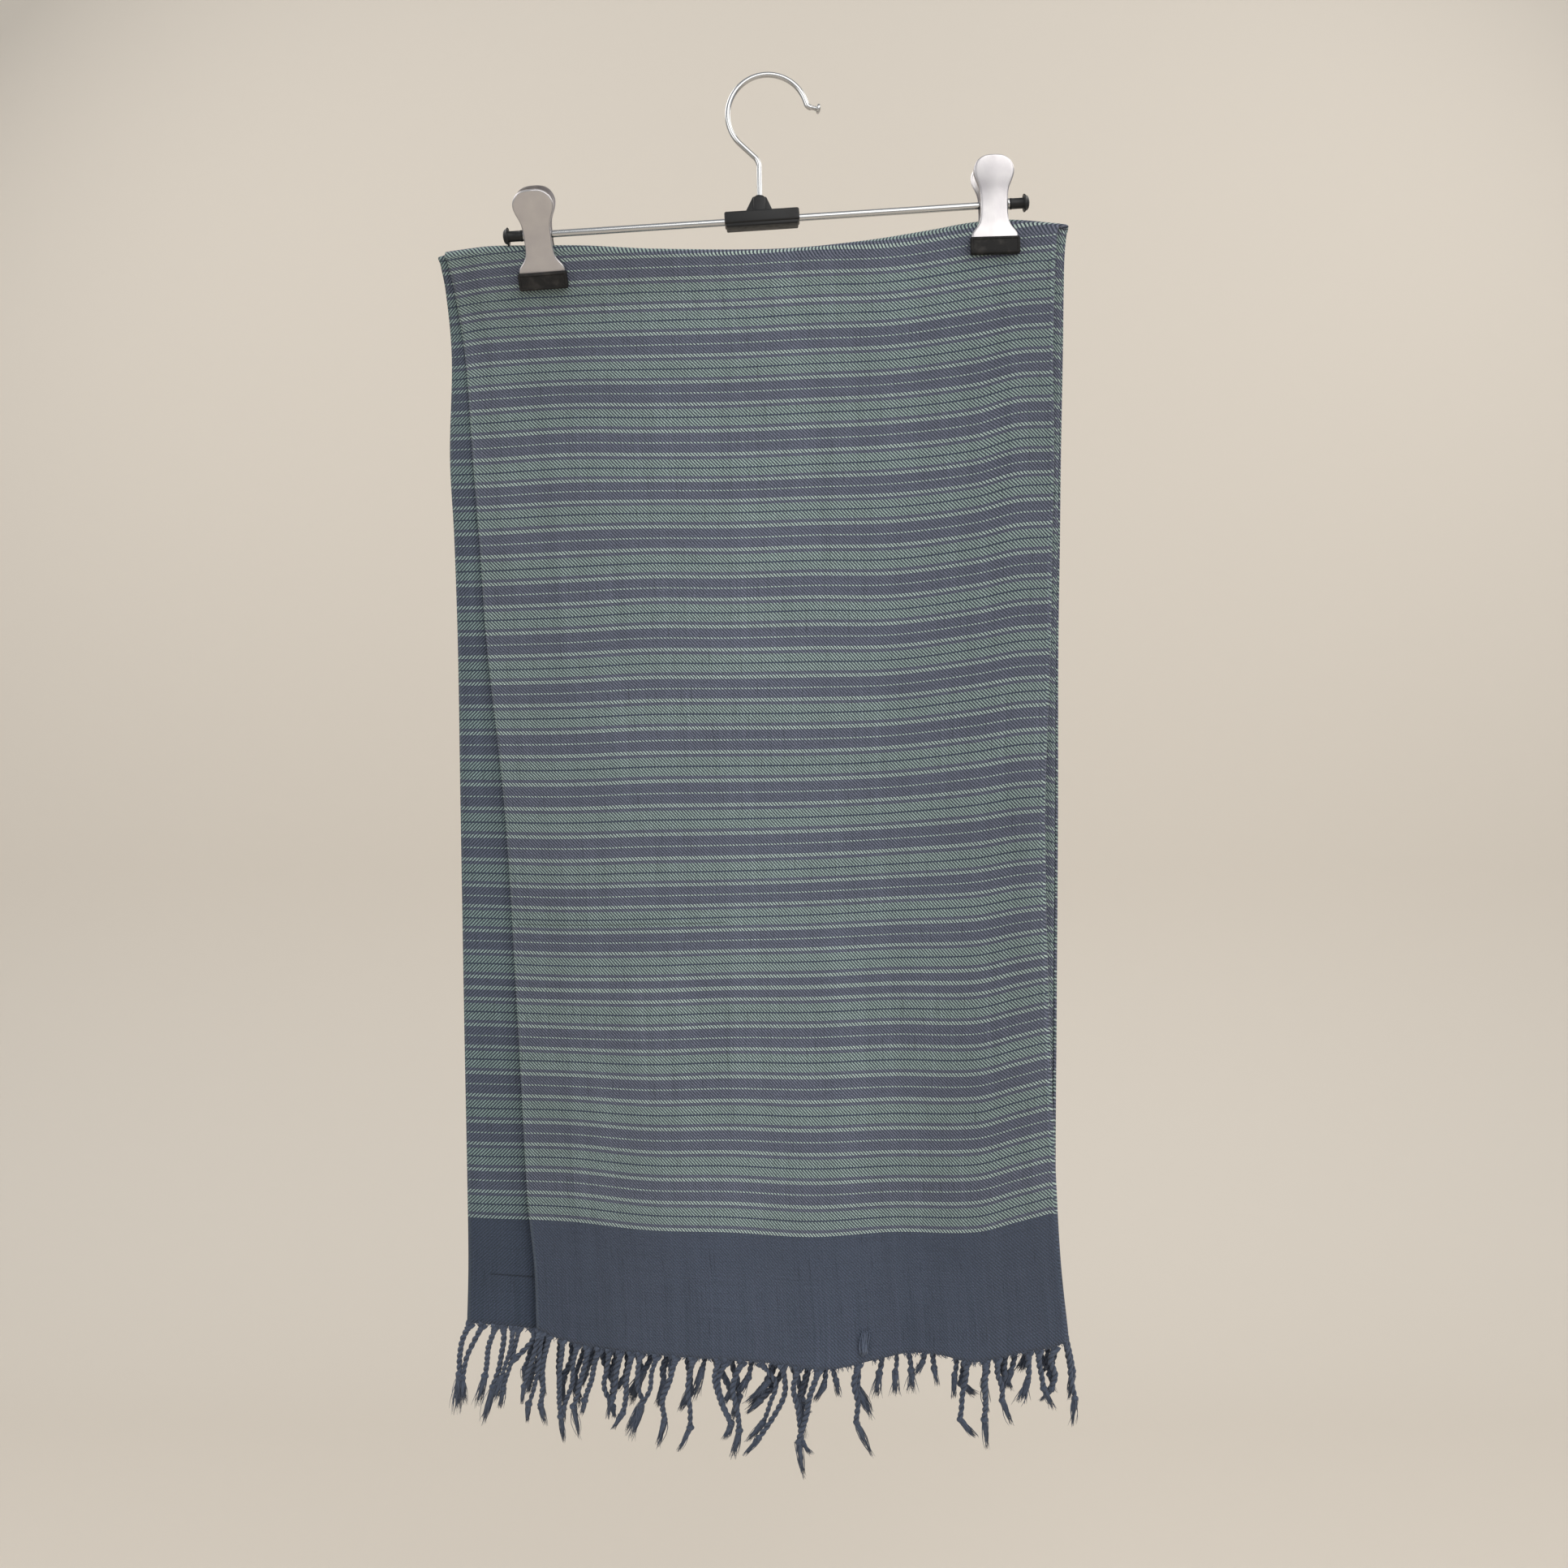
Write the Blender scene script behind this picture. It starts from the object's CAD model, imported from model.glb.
"""Finish of a striped stole with twisted tassels on a clip hanger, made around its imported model.

Sizes are in millimetres and become metres when a mesh is made. +X is to the right, +Y away from
the front of the stole, +Z up, and the origin is the inside top of the hook.

The outlines of the cloth are set out as they look from EYE, drawn on the upright plane y = 0
through the hook: x to the right of the hook and `drop` below it. A point of the cloth that lies
further back is placed on the same line of sight.
"""

from math import cos, pi, radians, sin, tan

import bpy
import numpy as np
from bpy.props import FloatProperty, FloatVectorProperty, IntProperty, PointerProperty
from mathutils import Matrix, Vector


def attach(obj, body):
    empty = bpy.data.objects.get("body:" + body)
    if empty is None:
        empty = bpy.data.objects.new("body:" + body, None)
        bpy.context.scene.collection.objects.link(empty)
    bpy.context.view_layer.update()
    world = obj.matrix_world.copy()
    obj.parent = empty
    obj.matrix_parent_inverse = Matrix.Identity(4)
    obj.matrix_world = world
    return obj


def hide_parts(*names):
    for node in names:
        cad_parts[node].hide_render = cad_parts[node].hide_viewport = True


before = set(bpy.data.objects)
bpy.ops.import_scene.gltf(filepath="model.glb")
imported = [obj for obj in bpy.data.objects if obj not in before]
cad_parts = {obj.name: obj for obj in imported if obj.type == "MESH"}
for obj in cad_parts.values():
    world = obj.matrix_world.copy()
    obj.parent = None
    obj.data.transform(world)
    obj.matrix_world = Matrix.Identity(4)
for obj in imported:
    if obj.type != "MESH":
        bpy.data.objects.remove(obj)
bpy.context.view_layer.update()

bl_info = {
    "name": "Striped Stole on a Clip Hanger",
    "version": (1, 0, 0),
    "blender": (4, 5, 0),
    "location": "3D View > Sidebar > Stole",
    "description": "Dresses the packed stole and its hanger with cloth, tassels and finishes",
    "category": "Object",
}

MM = 0.001
BODY = "root"

# ---- driving sizes, in millimetres --------------------------------------------------------------

EYE = {"x": 9.0, "y": -886.0, "drop": 399.0}

# stage
CAMERA = {"x": 9.17, "y": -886.0, "drop": 399.2}
FLOOR_Z = -1250.0
WALL_Y = 1900.0
COVE_R = 700.0  # of the curve between the floor and the wall
STAGE_HALF = 5000.0
COVE_STEPS = 16
# the lights, in metres: name, place, size and power as a multiple of the light setting
LIGHTS = [
    ("key", (1.1, -2.4, 1.2), 3.6, 2.4),
    ("fill", (-1.7, -1.5, 0.1), 1.4, 0.35),
    ("wall_left", (-1.6, 0.6, 1.2), 1.6, 0.7),
    ("wall_right", (1.8, 0.6, 1.2), 1.6, 0.7),
]
LIGHTS_AIM = (0, 0, -0.4)

# cloth
LAYER_WIDTH = 353.5  # half the width of the stole
WALL = 1.0  # the room that a layer's solid takes
PACK_PITCH = 1.6  # from layer to layer where the clips press them together
HEM_PITCH = 4.4  # from layer to layer at the hems
PITCH_FROM, PITCH_TO = 135.0, 640.0  # drops between which the layers part
LEAN_LENGTH = 30.0  # the cloth leans with its clip down to here below the bar
LEAN_EASE = 16.0  # and then turns plumb over about this length
CLIP_REACH = 18.0
INSET_FROM, INSET_TO = 110.0, 240.0
HEM_DROP = 730.0

# hanger
WIRE_D = 3.1
LOOP_R = 22.7
BAR_D = 4.0
BAR_MIDDLE = {"x": -0.9, "drop": 80.45}
BAR_LENGTH = 292.6
BAR_TILT = 3.75  # degrees, right end up
BAR_CHAMFER = 0.3
SHANK_END = 74.5  # drop of the lower end of the wire, in the block
SHANK_LENGTH = 24.0
BEND_R = 7.0  # of the wire above the shank
BEND_TURN = 47.0  # degrees
LOOP_START = 230.0  # degrees round the loop where the wire runs into it
LOOP_TURN = -214.0  # and how far round it goes
TIP_BEND_R = 3.0
TIP_TURN = 66.0
BLOCK = {"width": 42.2, "depth": 11.5, "height": 8.6, "x": -3.2}
FOOT = {"narrower": 1.6, "thinner": 1.4, "height": 4.0, "shows": 1.7}  # lower part of the block
GUSSET = {"base": 17.4, "top": 7.6, "height": 9.2, "thick": 3.6}
STEM = {"width": 6.9, "depth": 7.2, "x": -4.4}
NECK_PROFILE = [(-2.0, 2.75), (1.1, 2.75), (1.4, 2.45)]  # (along, radius)
SUNK = 1.4  # how far the stem and its neck stand in the piece below them
CAP_LENGTH = 8.6
COLLAR_LENGTH = 1.2
PLATE_COLUMN = 0.88  # the outer columns of a plate, in half widths
PLATE_CROWN = 0.3  # how much the middle of a plate is proud
PLATE_LIP = 1.6  # how far the edges of a plate are turned in
PAD = {"half": 13.9, "top": -19.5, "bottom": -29.0, "thick": 4.4, "face": 3.3}
EAR = {"width": 1.2, "reach": 3.2, "height": 7.0, "inset": 0.85}
SPRING = {"middle_r": 2.95, "wire_r": 0.42, "length": 8.2, "turns": 7.5, "leg": 12.5}

CLIPS = {
    "left": {"x": -129.7, "lean": 28.0, "tilt": 4.4},
    "right": {"x": 127.2, "lean": 2.0, "tilt": 1.7},
}

# rows of a clip's plate, top to bottom: height above the bar, half width and distance from the
# middle of the clip
PLATE_ROWS = [
    (24.95, 2.3, 8.62), (24.5, 5.2, 8.6), (23.6, 7.3, 8.54), (22.0, 9.3, 8.4), (19.0, 10.9, 8.1),
    (16.0, 11.2, 7.7), (12.5, 10.2, 7.2), (9.0, 8.5, 6.6), (6.0, 7.55, 6.1), (0.0, 7.3, 5.4),
    (-9.0, 7.4, 4.9), (-12.5, 8.7, 4.8), (-15.5, 11.3, 4.8), (-17.3, 12.7, 4.8),
    (-18.9, 12.9, 4.8), (-20.2, 12.7, 4.8),
]

# ends of the bar: profiles of a cap and a collar as (along, radius)
CAP_PROFILE = [
    (0.0, 2.5), (0.0, 2.9), (0.35, 3.12), (1.2, 3.12), (1.4, 2.98), (4.5, 2.95), (7.6, 2.98),
    (8.3, 3.3), (8.2, 4.1), (7.95, 4.75), (8.25, 5.0), (8.8, 4.85), (9.3, 4.2), (10.1, 3.9),
    (10.8, 2.9), (11.15, 1.5), (11.25, 0.3),
]
HOOK_TIP = [  # knurled end of the hook and its bead: steps along it and radii
    (0.6, 1.3), (0.15, 1.12), (0.45, 1.12), (0.15, 1.3), (0.35, 1.3), (0.15, 1.12), (0.4, 1.12),
    (0.15, 1.4), (0.3, 1.4), (0.15, 1.2), (0.3, 1.2), (0.2, 2.0), (0.35, 2.55), (0.55, 2.75),
    (0.6, 2.6), (0.5, 1.9), (0.2, 0.6),
]
COLLAR_PROFILE = [
    (0.0, 2.05), (0.0, 2.85), (0.25, 3.1), (0.95, 3.1), (1.2, 2.85), (1.2, 2.05),
]


def table(columns, rows):
    """Rows of numbers as named columns."""
    names = columns.split()
    return {name: np.array([row[i] for row in rows], float) for i, name in enumerate(names)}


# crosswise fold: the highest line of the cloth
TOP_EDGE = table("x drop", [
    (-186, 99.8), (-182, 98.6), (-168, 96.5), (-155, 95.1), (-130, 94.8), (-104, 94.8),
    (-64, 96.6), (6, 96.6), (55, 92.0), (92, 86.1), (115, 81.9), (137, 80.3), (164, 82.4),
    (171, 83.5),
])

# side edges: free edges on the left, lengthwise folds on the right
SIDES = table("drop front_left under_left front_right back_right", [
    (80, -182.0, -186.0, 164.4, 170.1),
    (99, -182.0, -186.0, 163.0, 168.0),
    (121, -177.0, -182.0, 162.2, 167.4),
    (158, -171.0, -178.6, 161.4, 166.9),
    (215, -166.8, -179.6, 162.0, 165.8),
    (260, -163.2, -177.2, 161.0, 165.3),
    (323, -158.6, -175.1, 160.0, 164.4),
    (415, -148.6, -173.6, 157.0, 164.2),
    (536, -141.2, -171.5, 159.4, 163.4),
    (635, -135.7, -169.6, 163.7, 163.0),
    (672, -132.0, -169.2, 166.0, 165.0),
    (710, -130.7, -170.1, 170.1, 168.4),
])

# hems, where the weave ends and the tassels start
HEMS = table("x front under back", [
    (-170, 703.5, 703.5, 700), (-131, 706.9, 707.0, 702), (-118, 712.8, 708.5, 704),
    (-93, 718.5, 711.0, 707), (-50, 723.0, 714.0, 711), (-3, 726.1, 717.0, 714),
    (33, 730.2, 719.0, 716), (62, 724.3, 716.0, 713), (80, 720.6, 713.0, 711),
    (98, 722.0, 713.5, 711), (116, 726.0, 715.0, 712), (144, 720.6, 712.0, 709),
    (163, 717.0, 709.0, 706), (171, 712.0, 707.0, 704),
])

# soft upright folds: how far back the cloth lies at the hem (less than 0 is to the front), how
# wide the fold is, and the drop from which it grows
FOLDS = table("x back width start", [
    (-172, 3.0, 20, 200), (-106, 6.5, 26, 260), (-48, -3.5, 28, 240), (20, -7.0, 24, 320),
    (82, 6.5, 20, 380), (115, -5.0, 16, 420), (165, 5.0, 18, 220),
])
BELLY = {"depth": 5.0, "half": 180.0, "start": 150.0, "end": 420.0}

# slight creases: from one point to another, how far back the cloth lies there and how wide
CREASES = table("x drop to_x to_drop back width", [
    (-118, 128, -96, 236, 0.9, 7),
    (-142, 130, -150, 220, 0.8, 6),
    (-104, 120, -30, 196, 0.7, 8),
    (112, 118, 96, 236, 0.9, 7),
    (140, 118, 149, 210, 0.8, 6),
    (100, 112, 40, 180, 0.7, 9),
    (-8, 250, 12, 520, 1.1, 13),
    (62, 300, 50, 640, -1.0, 16),
    (-70, 330, -58, 600, -0.9, 18),
    (128, 330, 134, 560, 0.9, 12),
    (-128, 360, -112, 610, 0.8, 12),
])

# how much lower each weft line lies than it does at x = -21, at ten places across, to the half
# millimetre; `line` is its drop there
SAG_PLACES = np.array([-178.0, -158.0, -113.0, -67.0, -21.0, 25.0, 71.0, 117.0, 141.0, 162.0])
SAG = table("line p0 p1 p2 p3 p4 p5 p6 p7 p8 p9", [
    (92, 11, 8, 3.5, 1.5, 0, -2.5, -4.5, -11.5, -15, -17),
    (125, 10, 6.5, 3.5, 1.5, 0, -2.5, -4.5, -11.5, -15, -17),
    (207, 4.5, 3.5, 0.5, 0.5, 0, -2, -4.5, -10, -16.5, -17.5),
    (290, 5, 4.5, 2.5, 0, 0, -1.5, -2, -8, -13, -14.5),
    (372, 3, 3, 2.5, 0.5, 0, -0.5, -2.5, -8, -12, -13.5),
    (456, 0.5, 1, 2, 1, 0, -1.5, -4, -7, -11, -13),
    (540, -1.5, -1, 0.5, 1.5, 0, 0, -2, -2, -7.5, -12.5),
    (625, -7, -6, -5, -0.5, 0, 2, 0, -0.5, -6.5, -12),
    (725, -16, -14, -9, -3.5, 0, 4, -2.5, 1, -4, -9),
])

# ---- stripes ----
# the first green band below the crosswise fold: the drop of its middle at x = -21
FIRST_GREEN = 120.0
# from each green band to the next one down; the first gap has no slate band in it
GREEN_STEPS = [
    16, 28, 27.5, 29, 25.5, 28.5, 28, 28.5, 28.5, 29.5, 30, 29.5, 26, 26, 28, 28, 29.5, 29, 29,
]
GREEN_BANDS = FIRST_GREEN + np.cumsum([0, *GREEN_STEPS])
REPEAT = 28.2  # from green band to green band
SHORT_REPEAT = 15.8  # the first one below the fold, which has no slate band
GREEN_HALF = 4.95  # half a green band
LIGHT_FROM, LIGHT_TO = 6.7, 8.6  # the thin light stripe, from the middle of the green band
LINE_HALF = 0.45  # half the dark line in the middle of a green band
DOTS_HALF = 0.38  # half the dotted line in the middle of a slate band
WIDE_DOTS_AT = 14.5  # the dotted line that is a thick one, in repeats
LAST_GREEN = 19  # the last green band above the front border
REAR_GREENS = 20  # green bands behind the crosswise fold
TWILL = 2.1  # one repeat of the twill, four ends or four picks

# thin dark marks left by earlier folding, along a weft line: where across the cloth they start and
# end, the line, half their width and how dark they are
FOLD_MARKS = [
    (4.0, 142.0, 477.3, 0.6, 0.5),
    (668.0, 694.0, 686.7, 0.8, 0.55),
]
WRONG_SIDE_TINT = (0.9, 0.96, 1.0)  # the wrong side of the cloth is a little bluer


# ---- curves and the lie of the cloth -------------------------------------------------------------

def smooth(value, low, high):
    """0 below `low`, 1 above `high`, and smooth between them."""
    t = np.clip((value - low) / (high - low), 0, 1)
    return t * t * (3 - 2 * t)


def lerp(a, b, t):
    return a + (b - a) * t


def through(xs, ys, at, run_on=False):
    """Smooth curve through (xs, ys). `ys` may hold a row for each place of `at`."""
    at = np.asarray(at, float)
    inside = np.clip(at, xs[0], xs[-1])
    i = np.clip(np.searchsorted(xs, inside, side="left") - 1, 0, len(xs) - 2)
    span = np.diff(xs).reshape([-1] + [1] * (ys.ndim - 1))
    slopes = np.diff(ys, axis=0) / span
    middles = (ys[2:] - ys[:-2]) / (span[1:] + span[:-1])
    tangents = np.concatenate([slopes[:1], middles, slopes[-1:]])
    if ys.ndim == 1:
        pick = lambda rows, k: rows[k]
    else:
        pick = lambda rows, k: np.take_along_axis(rows, k[None], 0)[0]
    width = xs[i + 1] - xs[i]
    s = (inside - xs[i]) / width
    value = pick(ys, i) * (1 + 2 * s) * (1 - s) ** 2 + pick(tangents, i) * width * s * (1 - s) ** 2
    value += pick(ys, i + 1) * s * s * (3 - 2 * s)
    value -= pick(tangents, i + 1) * width * s * s * (1 - s)
    if run_on:
        value += np.where(at < inside, slopes[0], slopes[-1]) * (at - inside)
    return value


def column(rows, by, key, at):
    """Value of column `key` where column `by` is `at`."""
    return through(rows[by], rows[key], at)


def bar_drop(x):
    return BAR_MIDDLE["drop"] - (x - BAR_MIDDLE["x"]) * tan(radians(BAR_TILT))


def crease_depth(x, drop):
    """The slight creases, which fade at their ends."""
    depth = np.zeros(np.broadcast(x, drop).shape)
    for i in range(len(CREASES["x"])):
        start = np.array([CREASES["x"][i], CREASES["drop"][i]])
        run = np.array([CREASES["to_x"][i], CREASES["to_drop"][i]]) - start
        length = np.hypot(*run)
        along = ((x - start[0]) * run[0] + (drop - start[1]) * run[1]) / length
        across = ((x - start[0]) * run[1] - (drop - start[1]) * run[0]) / length
        fade = np.sin(pi * np.clip(along / length, 0, 1))
        depth += CREASES["back"][i] * fade * np.exp(-((across / CREASES["width"][i]) ** 2))
    return depth


def ripple_depth(x, drop):
    """Faint unevenness of hanging cloth."""
    grow = smooth(drop, 125, 260)
    wide = 0.6 * np.sin(x / 31 + drop / 140 + 0.7) * np.sin(drop / 83 - x / 120)
    fine = 0.16 * np.sin(x / 11.5 - drop / 60) * np.sin(drop / 29 + x / 47 + 1.9)
    hem = 0.7 * np.sin(x / 9.5 + 0.8) * smooth(drop, 660, HEM_DROP)
    return (wide + fine) * grow + hem


def depth_at(x, z):
    """Depth of the middle of the pack behind the plane of the hook, at a real point."""
    clip_depth = []
    for clip in CLIPS.values():
        tilt = radians(clip["tilt"])
        below = -bar_drop(clip["x"]) - z
        down = below * cos(tilt) + (x - clip["x"]) * sin(tilt)
        past = np.maximum(0, down - LEAN_LENGTH)
        eased = LEAN_EASE * (1 - np.exp(-past / LEAN_EASE))
        clip_depth.append(tan(radians(clip["lean"])) * (np.minimum(down, LEAN_LENGTH) + eased))
    drop = -z
    across = smooth(x, CLIPS["left"]["x"] + CLIP_REACH, CLIPS["right"]["x"] - CLIP_REACH)
    depth = lerp(clip_depth[0], clip_depth[1], across)
    bow = np.cos(pi / 2 * np.minimum(1, np.abs(x) / BELLY["half"]))
    depth = depth - BELLY["depth"] * bow * smooth(drop, BELLY["start"], BELLY["end"])
    for i in range(len(FOLDS["x"])):
        off = (x - FOLDS["x"][i]) / FOLDS["width"][i]
        grown = smooth(drop, FOLDS["start"][i], HEM_DROP)
        depth = depth + FOLDS["back"][i] * np.exp(-off * off) * grown
    return depth + crease_depth(x, drop) + ripple_depth(x, drop)


def on_sight_line(x, drop, depth):
    """Real point at `depth` that is seen at (x, drop)."""
    k = (depth - EYE["y"]) / -EYE["y"]
    across = EYE["x"] + (x - EYE["x"]) * k
    down = -EYE["drop"] + (EYE["drop"] - drop) * k
    return np.stack(np.broadcast_arrays(across, depth, down), axis=-1).astype(float)


def as_seen(points):
    k = -EYE["y"] / (points[..., 1] - EYE["y"])
    x = EYE["x"] + (points[..., 0] - EYE["x"]) * k
    return x, EYE["drop"] - (points[..., 2] + EYE["drop"]) * k


def unit(vectors):
    return vectors / np.linalg.norm(vectors, axis=-1, keepdims=True)


def middle_point(x, drop):
    point = on_sight_line(x, drop, np.zeros(np.broadcast(x, drop).shape))
    for _ in range(8):
        point = on_sight_line(x, drop, depth_at(point[..., 0], point[..., 2]))
    return point


def frame_at(x, drop):
    """Point of the middle of the pack, with its directions to the front, to the right and up."""
    step = 0.5
    point = middle_point(x, drop)
    right = unit(middle_point(x + step, drop) - middle_point(x - step, drop))
    up = unit(middle_point(x, drop - step) - middle_point(x, drop + step))
    front = unit(-np.cross(right, up))
    front = np.where(front[..., 1:2] > 0, -front, front)
    up = unit(np.cross(front, right))
    up = np.where(up[..., 2:3] < 0, -up, up)
    return point, front, right, up


def layer_point(x, drop, out):
    """Point `out` in front of the middle of the pack that is seen at (x, drop)."""
    aim_x, aim_drop = x, drop
    for _ in range(3):
        point, front, _, _ = frame_at(aim_x, aim_drop)
        point = point + front * np.asarray(out)[..., None]
        seen_x, seen_drop = as_seen(point)
        aim_x, aim_drop = aim_x + x - seen_x, aim_drop + drop - seen_drop
    return point


def pitch_at(drop):
    return lerp(PACK_PITCH, HEM_PITCH, smooth(drop, PITCH_FROM, PITCH_TO))


def top_drop(x):
    return column(TOP_EDGE, "x", "drop", x) + 1.5 * PACK_PITCH + WALL / 2


# ---- weft lines and stripes ----------------------------------------------------------------------

def weft_line(x, drop):
    """Which weft line of the front is seen at (x, drop), named by its drop at x = -21."""
    line = drop
    keys = [f"p{i}" for i in range(len(SAG_PLACES))]
    for _ in range(4):
        sags = np.stack([column(SAG, "line", key, line) for key in keys])
        line = drop - through(SAG_PLACES, sags, x, run_on=True)
    return line


def stripe_at(line):
    """Place among the stripes in repeats, whole at the middle of each green band."""
    above = GREEN_BANDS[0] - REPEAT * np.arange(REAR_GREENS + 4, 0, -1)
    below = GREEN_BANDS[-1] + REPEAT * np.arange(1, 6)
    bands = np.concatenate([above, GREEN_BANDS, below])
    return np.interp(line, bands, np.arange(len(bands)) - len(above))


# ---- layers --------------------------------------------------------------------------------------

# The four layers. `rank` counts the half pitches from the middle of the pack to the layer, to the
# front; `over_top` layers carry the crosswise fold, and `fold` ones the lengthwise fold, which
# turns to the back (-1) or to the front (1). `outside` is 1 where the right side of the weave
# faces the front.
LAYERS = {
    "front_panel": {
        "rank": 3, "left": "front_left", "right": "front_right", "hem": "front",
        "over_top": True, "fold": -1, "inset": 0, "lift": 2.2, "outside": 1,
        "columns": 140, "rows": 236,
    },
    "front_under_layer": {
        "rank": 1, "left": "under_left", "right": "front_right", "hem": "under",
        "over_top": True, "fold": 0, "inset": 0, "lift": 0, "outside": -1,
        "columns": 110, "rows": 200,
    },
    "back_under_layer": {
        "rank": -1, "left": "under_left", "right": "back_right", "hem": "back",
        "over_top": False, "fold": 0, "inset": 5, "lift": 0, "outside": 1,
        "columns": 90, "rows": 170,
    },
    "back_panel": {
        "rank": -3, "left": "front_left", "right": "back_right", "hem": "back",
        "over_top": False, "fold": 1, "inset": 3, "lift": 0, "outside": -1,
        "columns": 120, "rows": 210,
    },
}
OUTER_RANK = 3  # of the layers that hold the left half of the cloth's whole width
ARCH_STEPS = 10
FOLD_STEPS = 8
LIFT_REACH = 9.0  # how far from the free edge the front panel stands proud
LIFT_FROM, LIFT_TO = 130.0, 260.0  # drops between which it comes to stand so


def parallax(x, out):
    return (x - EYE["x"]) * out / -EYE["y"]


def ends(layer, drop):
    """Where a layer's left edge, the end of its flat stretch and its fold's middle are seen."""
    pitch = pitch_at(drop)
    inset = layer["inset"] * smooth(drop, INSET_FROM, INSET_TO)
    left = column(SIDES, "drop", layer["left"], drop) + inset
    fold = column(SIDES, "drop", layer["right"], drop) - pitch / 2 - WALL / 2
    out = layer["rank"] * pitch / 2 - np.sign(layer["rank"]) * pitch
    return left, fold + parallax(fold, out), fold


def seat(layer, u, v):
    """Where column share `u` and row share `v` of a layer's flat stretch is seen."""
    drop = lerp(90.0, 710.0, v)
    for _ in range(6):
        left, right, _ = ends(layer, drop)
        x = lerp(left, right, u)
        drop = lerp(top_drop(x), column(HEMS, "x", layer["hem"], x), v)
    return x, drop


def layer_skin(layer, thickness, side):
    """Grid of points over a layer, on the skin half its thickness to the front (side 1) or to the
    back (side -1), with how far across and along the cloth each of them is."""
    rank, turn_way = layer["rank"], layer["fold"]
    half = side * thickness / 2
    u = np.linspace(0, 1, layer["columns"] + 1)
    v = np.linspace(0, 1, layer["rows"] + 1)[1:]
    grid_u, grid_v = np.meshgrid(u, v)
    x, drop = seat(layer, grid_u, grid_v)
    lift = layer["lift"] * np.exp(-grid_u * LAYER_WIDTH / LIFT_REACH)
    lift = lift * smooth(drop, LIFT_FROM, LIFT_TO)
    flat_rows = layer_point(x, drop, rank * pitch_at(drop) / 2 + half + lift)
    bends = pi * np.arange(1, FOLD_STEPS + 1) / FOLD_STEPS if turn_way else np.zeros(0)
    if turn_way:
        flat_rows = np.concatenate([
            flat_rows[:, :-1], fold_rows(layer, drop[:, -1:], np.append(0.0, bends), half),
        ], axis=1)

    if rank > 0:
        line = weft_line(x, drop)
    else:
        line_top = weft_line(x[:1], top_drop(x[:1]))
        line = line_top - pi * abs(rank) * PACK_PITCH / 2 - (drop - top_drop(x))
    outer = abs(rank) == OUTER_RANK
    across = LAYER_WIDTH * grid_u if outer else LAYER_WIDTH * (2 - grid_u)
    around = (1 if outer else -1) * bends * PACK_PITCH / 2
    line = np.concatenate([line, np.repeat(line[:, -1:], len(bends), axis=1)], axis=1)
    across = np.concatenate([across, across[:, -1:] + around], axis=1)

    arch, arch_line = arch_rows(layer, u, bends, half)
    rows = np.concatenate([arch, flat_rows])
    line = np.concatenate([arch_line, line])
    across = np.concatenate([np.broadcast_to(across[:1], arch_line.shape), across])
    return rows, across, line


def fold_rows(layer, drop, turns, half):
    """The lengthwise fold beside each flat row, turn by turn from the flat of the layer."""
    rank, turn_way = layer["rank"], layer["fold"]
    pitch = pitch_at(drop)
    fold_x = ends(layer, drop)[2]
    _, front, right, _ = frame_at(fold_x, drop)
    middle = layer_point(fold_x, drop, np.sign(rank) * pitch)
    radius = pitch / 2 - turn_way * half
    out = -turn_way * radius * np.cos(turns)
    return middle + front * out[..., None] + right * (radius * np.sin(turns))[..., None]


def arch_rows(layer, u, bends, half):
    """Rows at the crosswise fold, from the back to the front of it."""
    rank, turn_way = layer["rank"], layer["fold"]
    turns = pi * (1 - np.arange(ARCH_STEPS + 1) / ARCH_STEPS) if layer["over_top"] else np.zeros(1)
    rows, lines = [], []
    for turn in turns:
        share = turn / pi if layer["over_top"] else 1.0
        right_edge = lerp(SIDES["front_right"][0], SIDES["back_right"][0], smooth(share, 0.0, 0.5))
        x = lerp(SIDES[layer["left"]][0], right_edge - PACK_PITCH / 2 - WALL / 2, u)
        point, front, right, up = frame_at(x, top_drop(x))
        out = np.full(x.shape, rank * PACK_PITCH / 2 + half)
        along = np.zeros(x.shape)
        if turn_way:
            radius = PACK_PITCH / 2 - turn_way * half
            out = np.append(out, -turn_way * (PACK_PITCH + radius * np.cos(bends)))
            along = np.append(along, radius * np.sin(bends))
            point, front, right, up = (
                np.concatenate([part, np.repeat(part[-1:], len(bends), axis=0)])
                for part in (point, front, right, up)
            )
        row = point + front * (out * cos(turn))[:, None] + up * (out * sin(turn))[:, None]
        rows.append(row + right * along[:, None])
        line = weft_line(x, top_drop(x)) - abs(rank) * PACK_PITCH / 2 * turn
        if rank < 0:
            line = line - pi * abs(rank) * PACK_PITCH / 2
        lines.append(np.append(line, np.repeat(line[-1:], len(bends))))
    return np.array(rows), np.array(lines)


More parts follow.
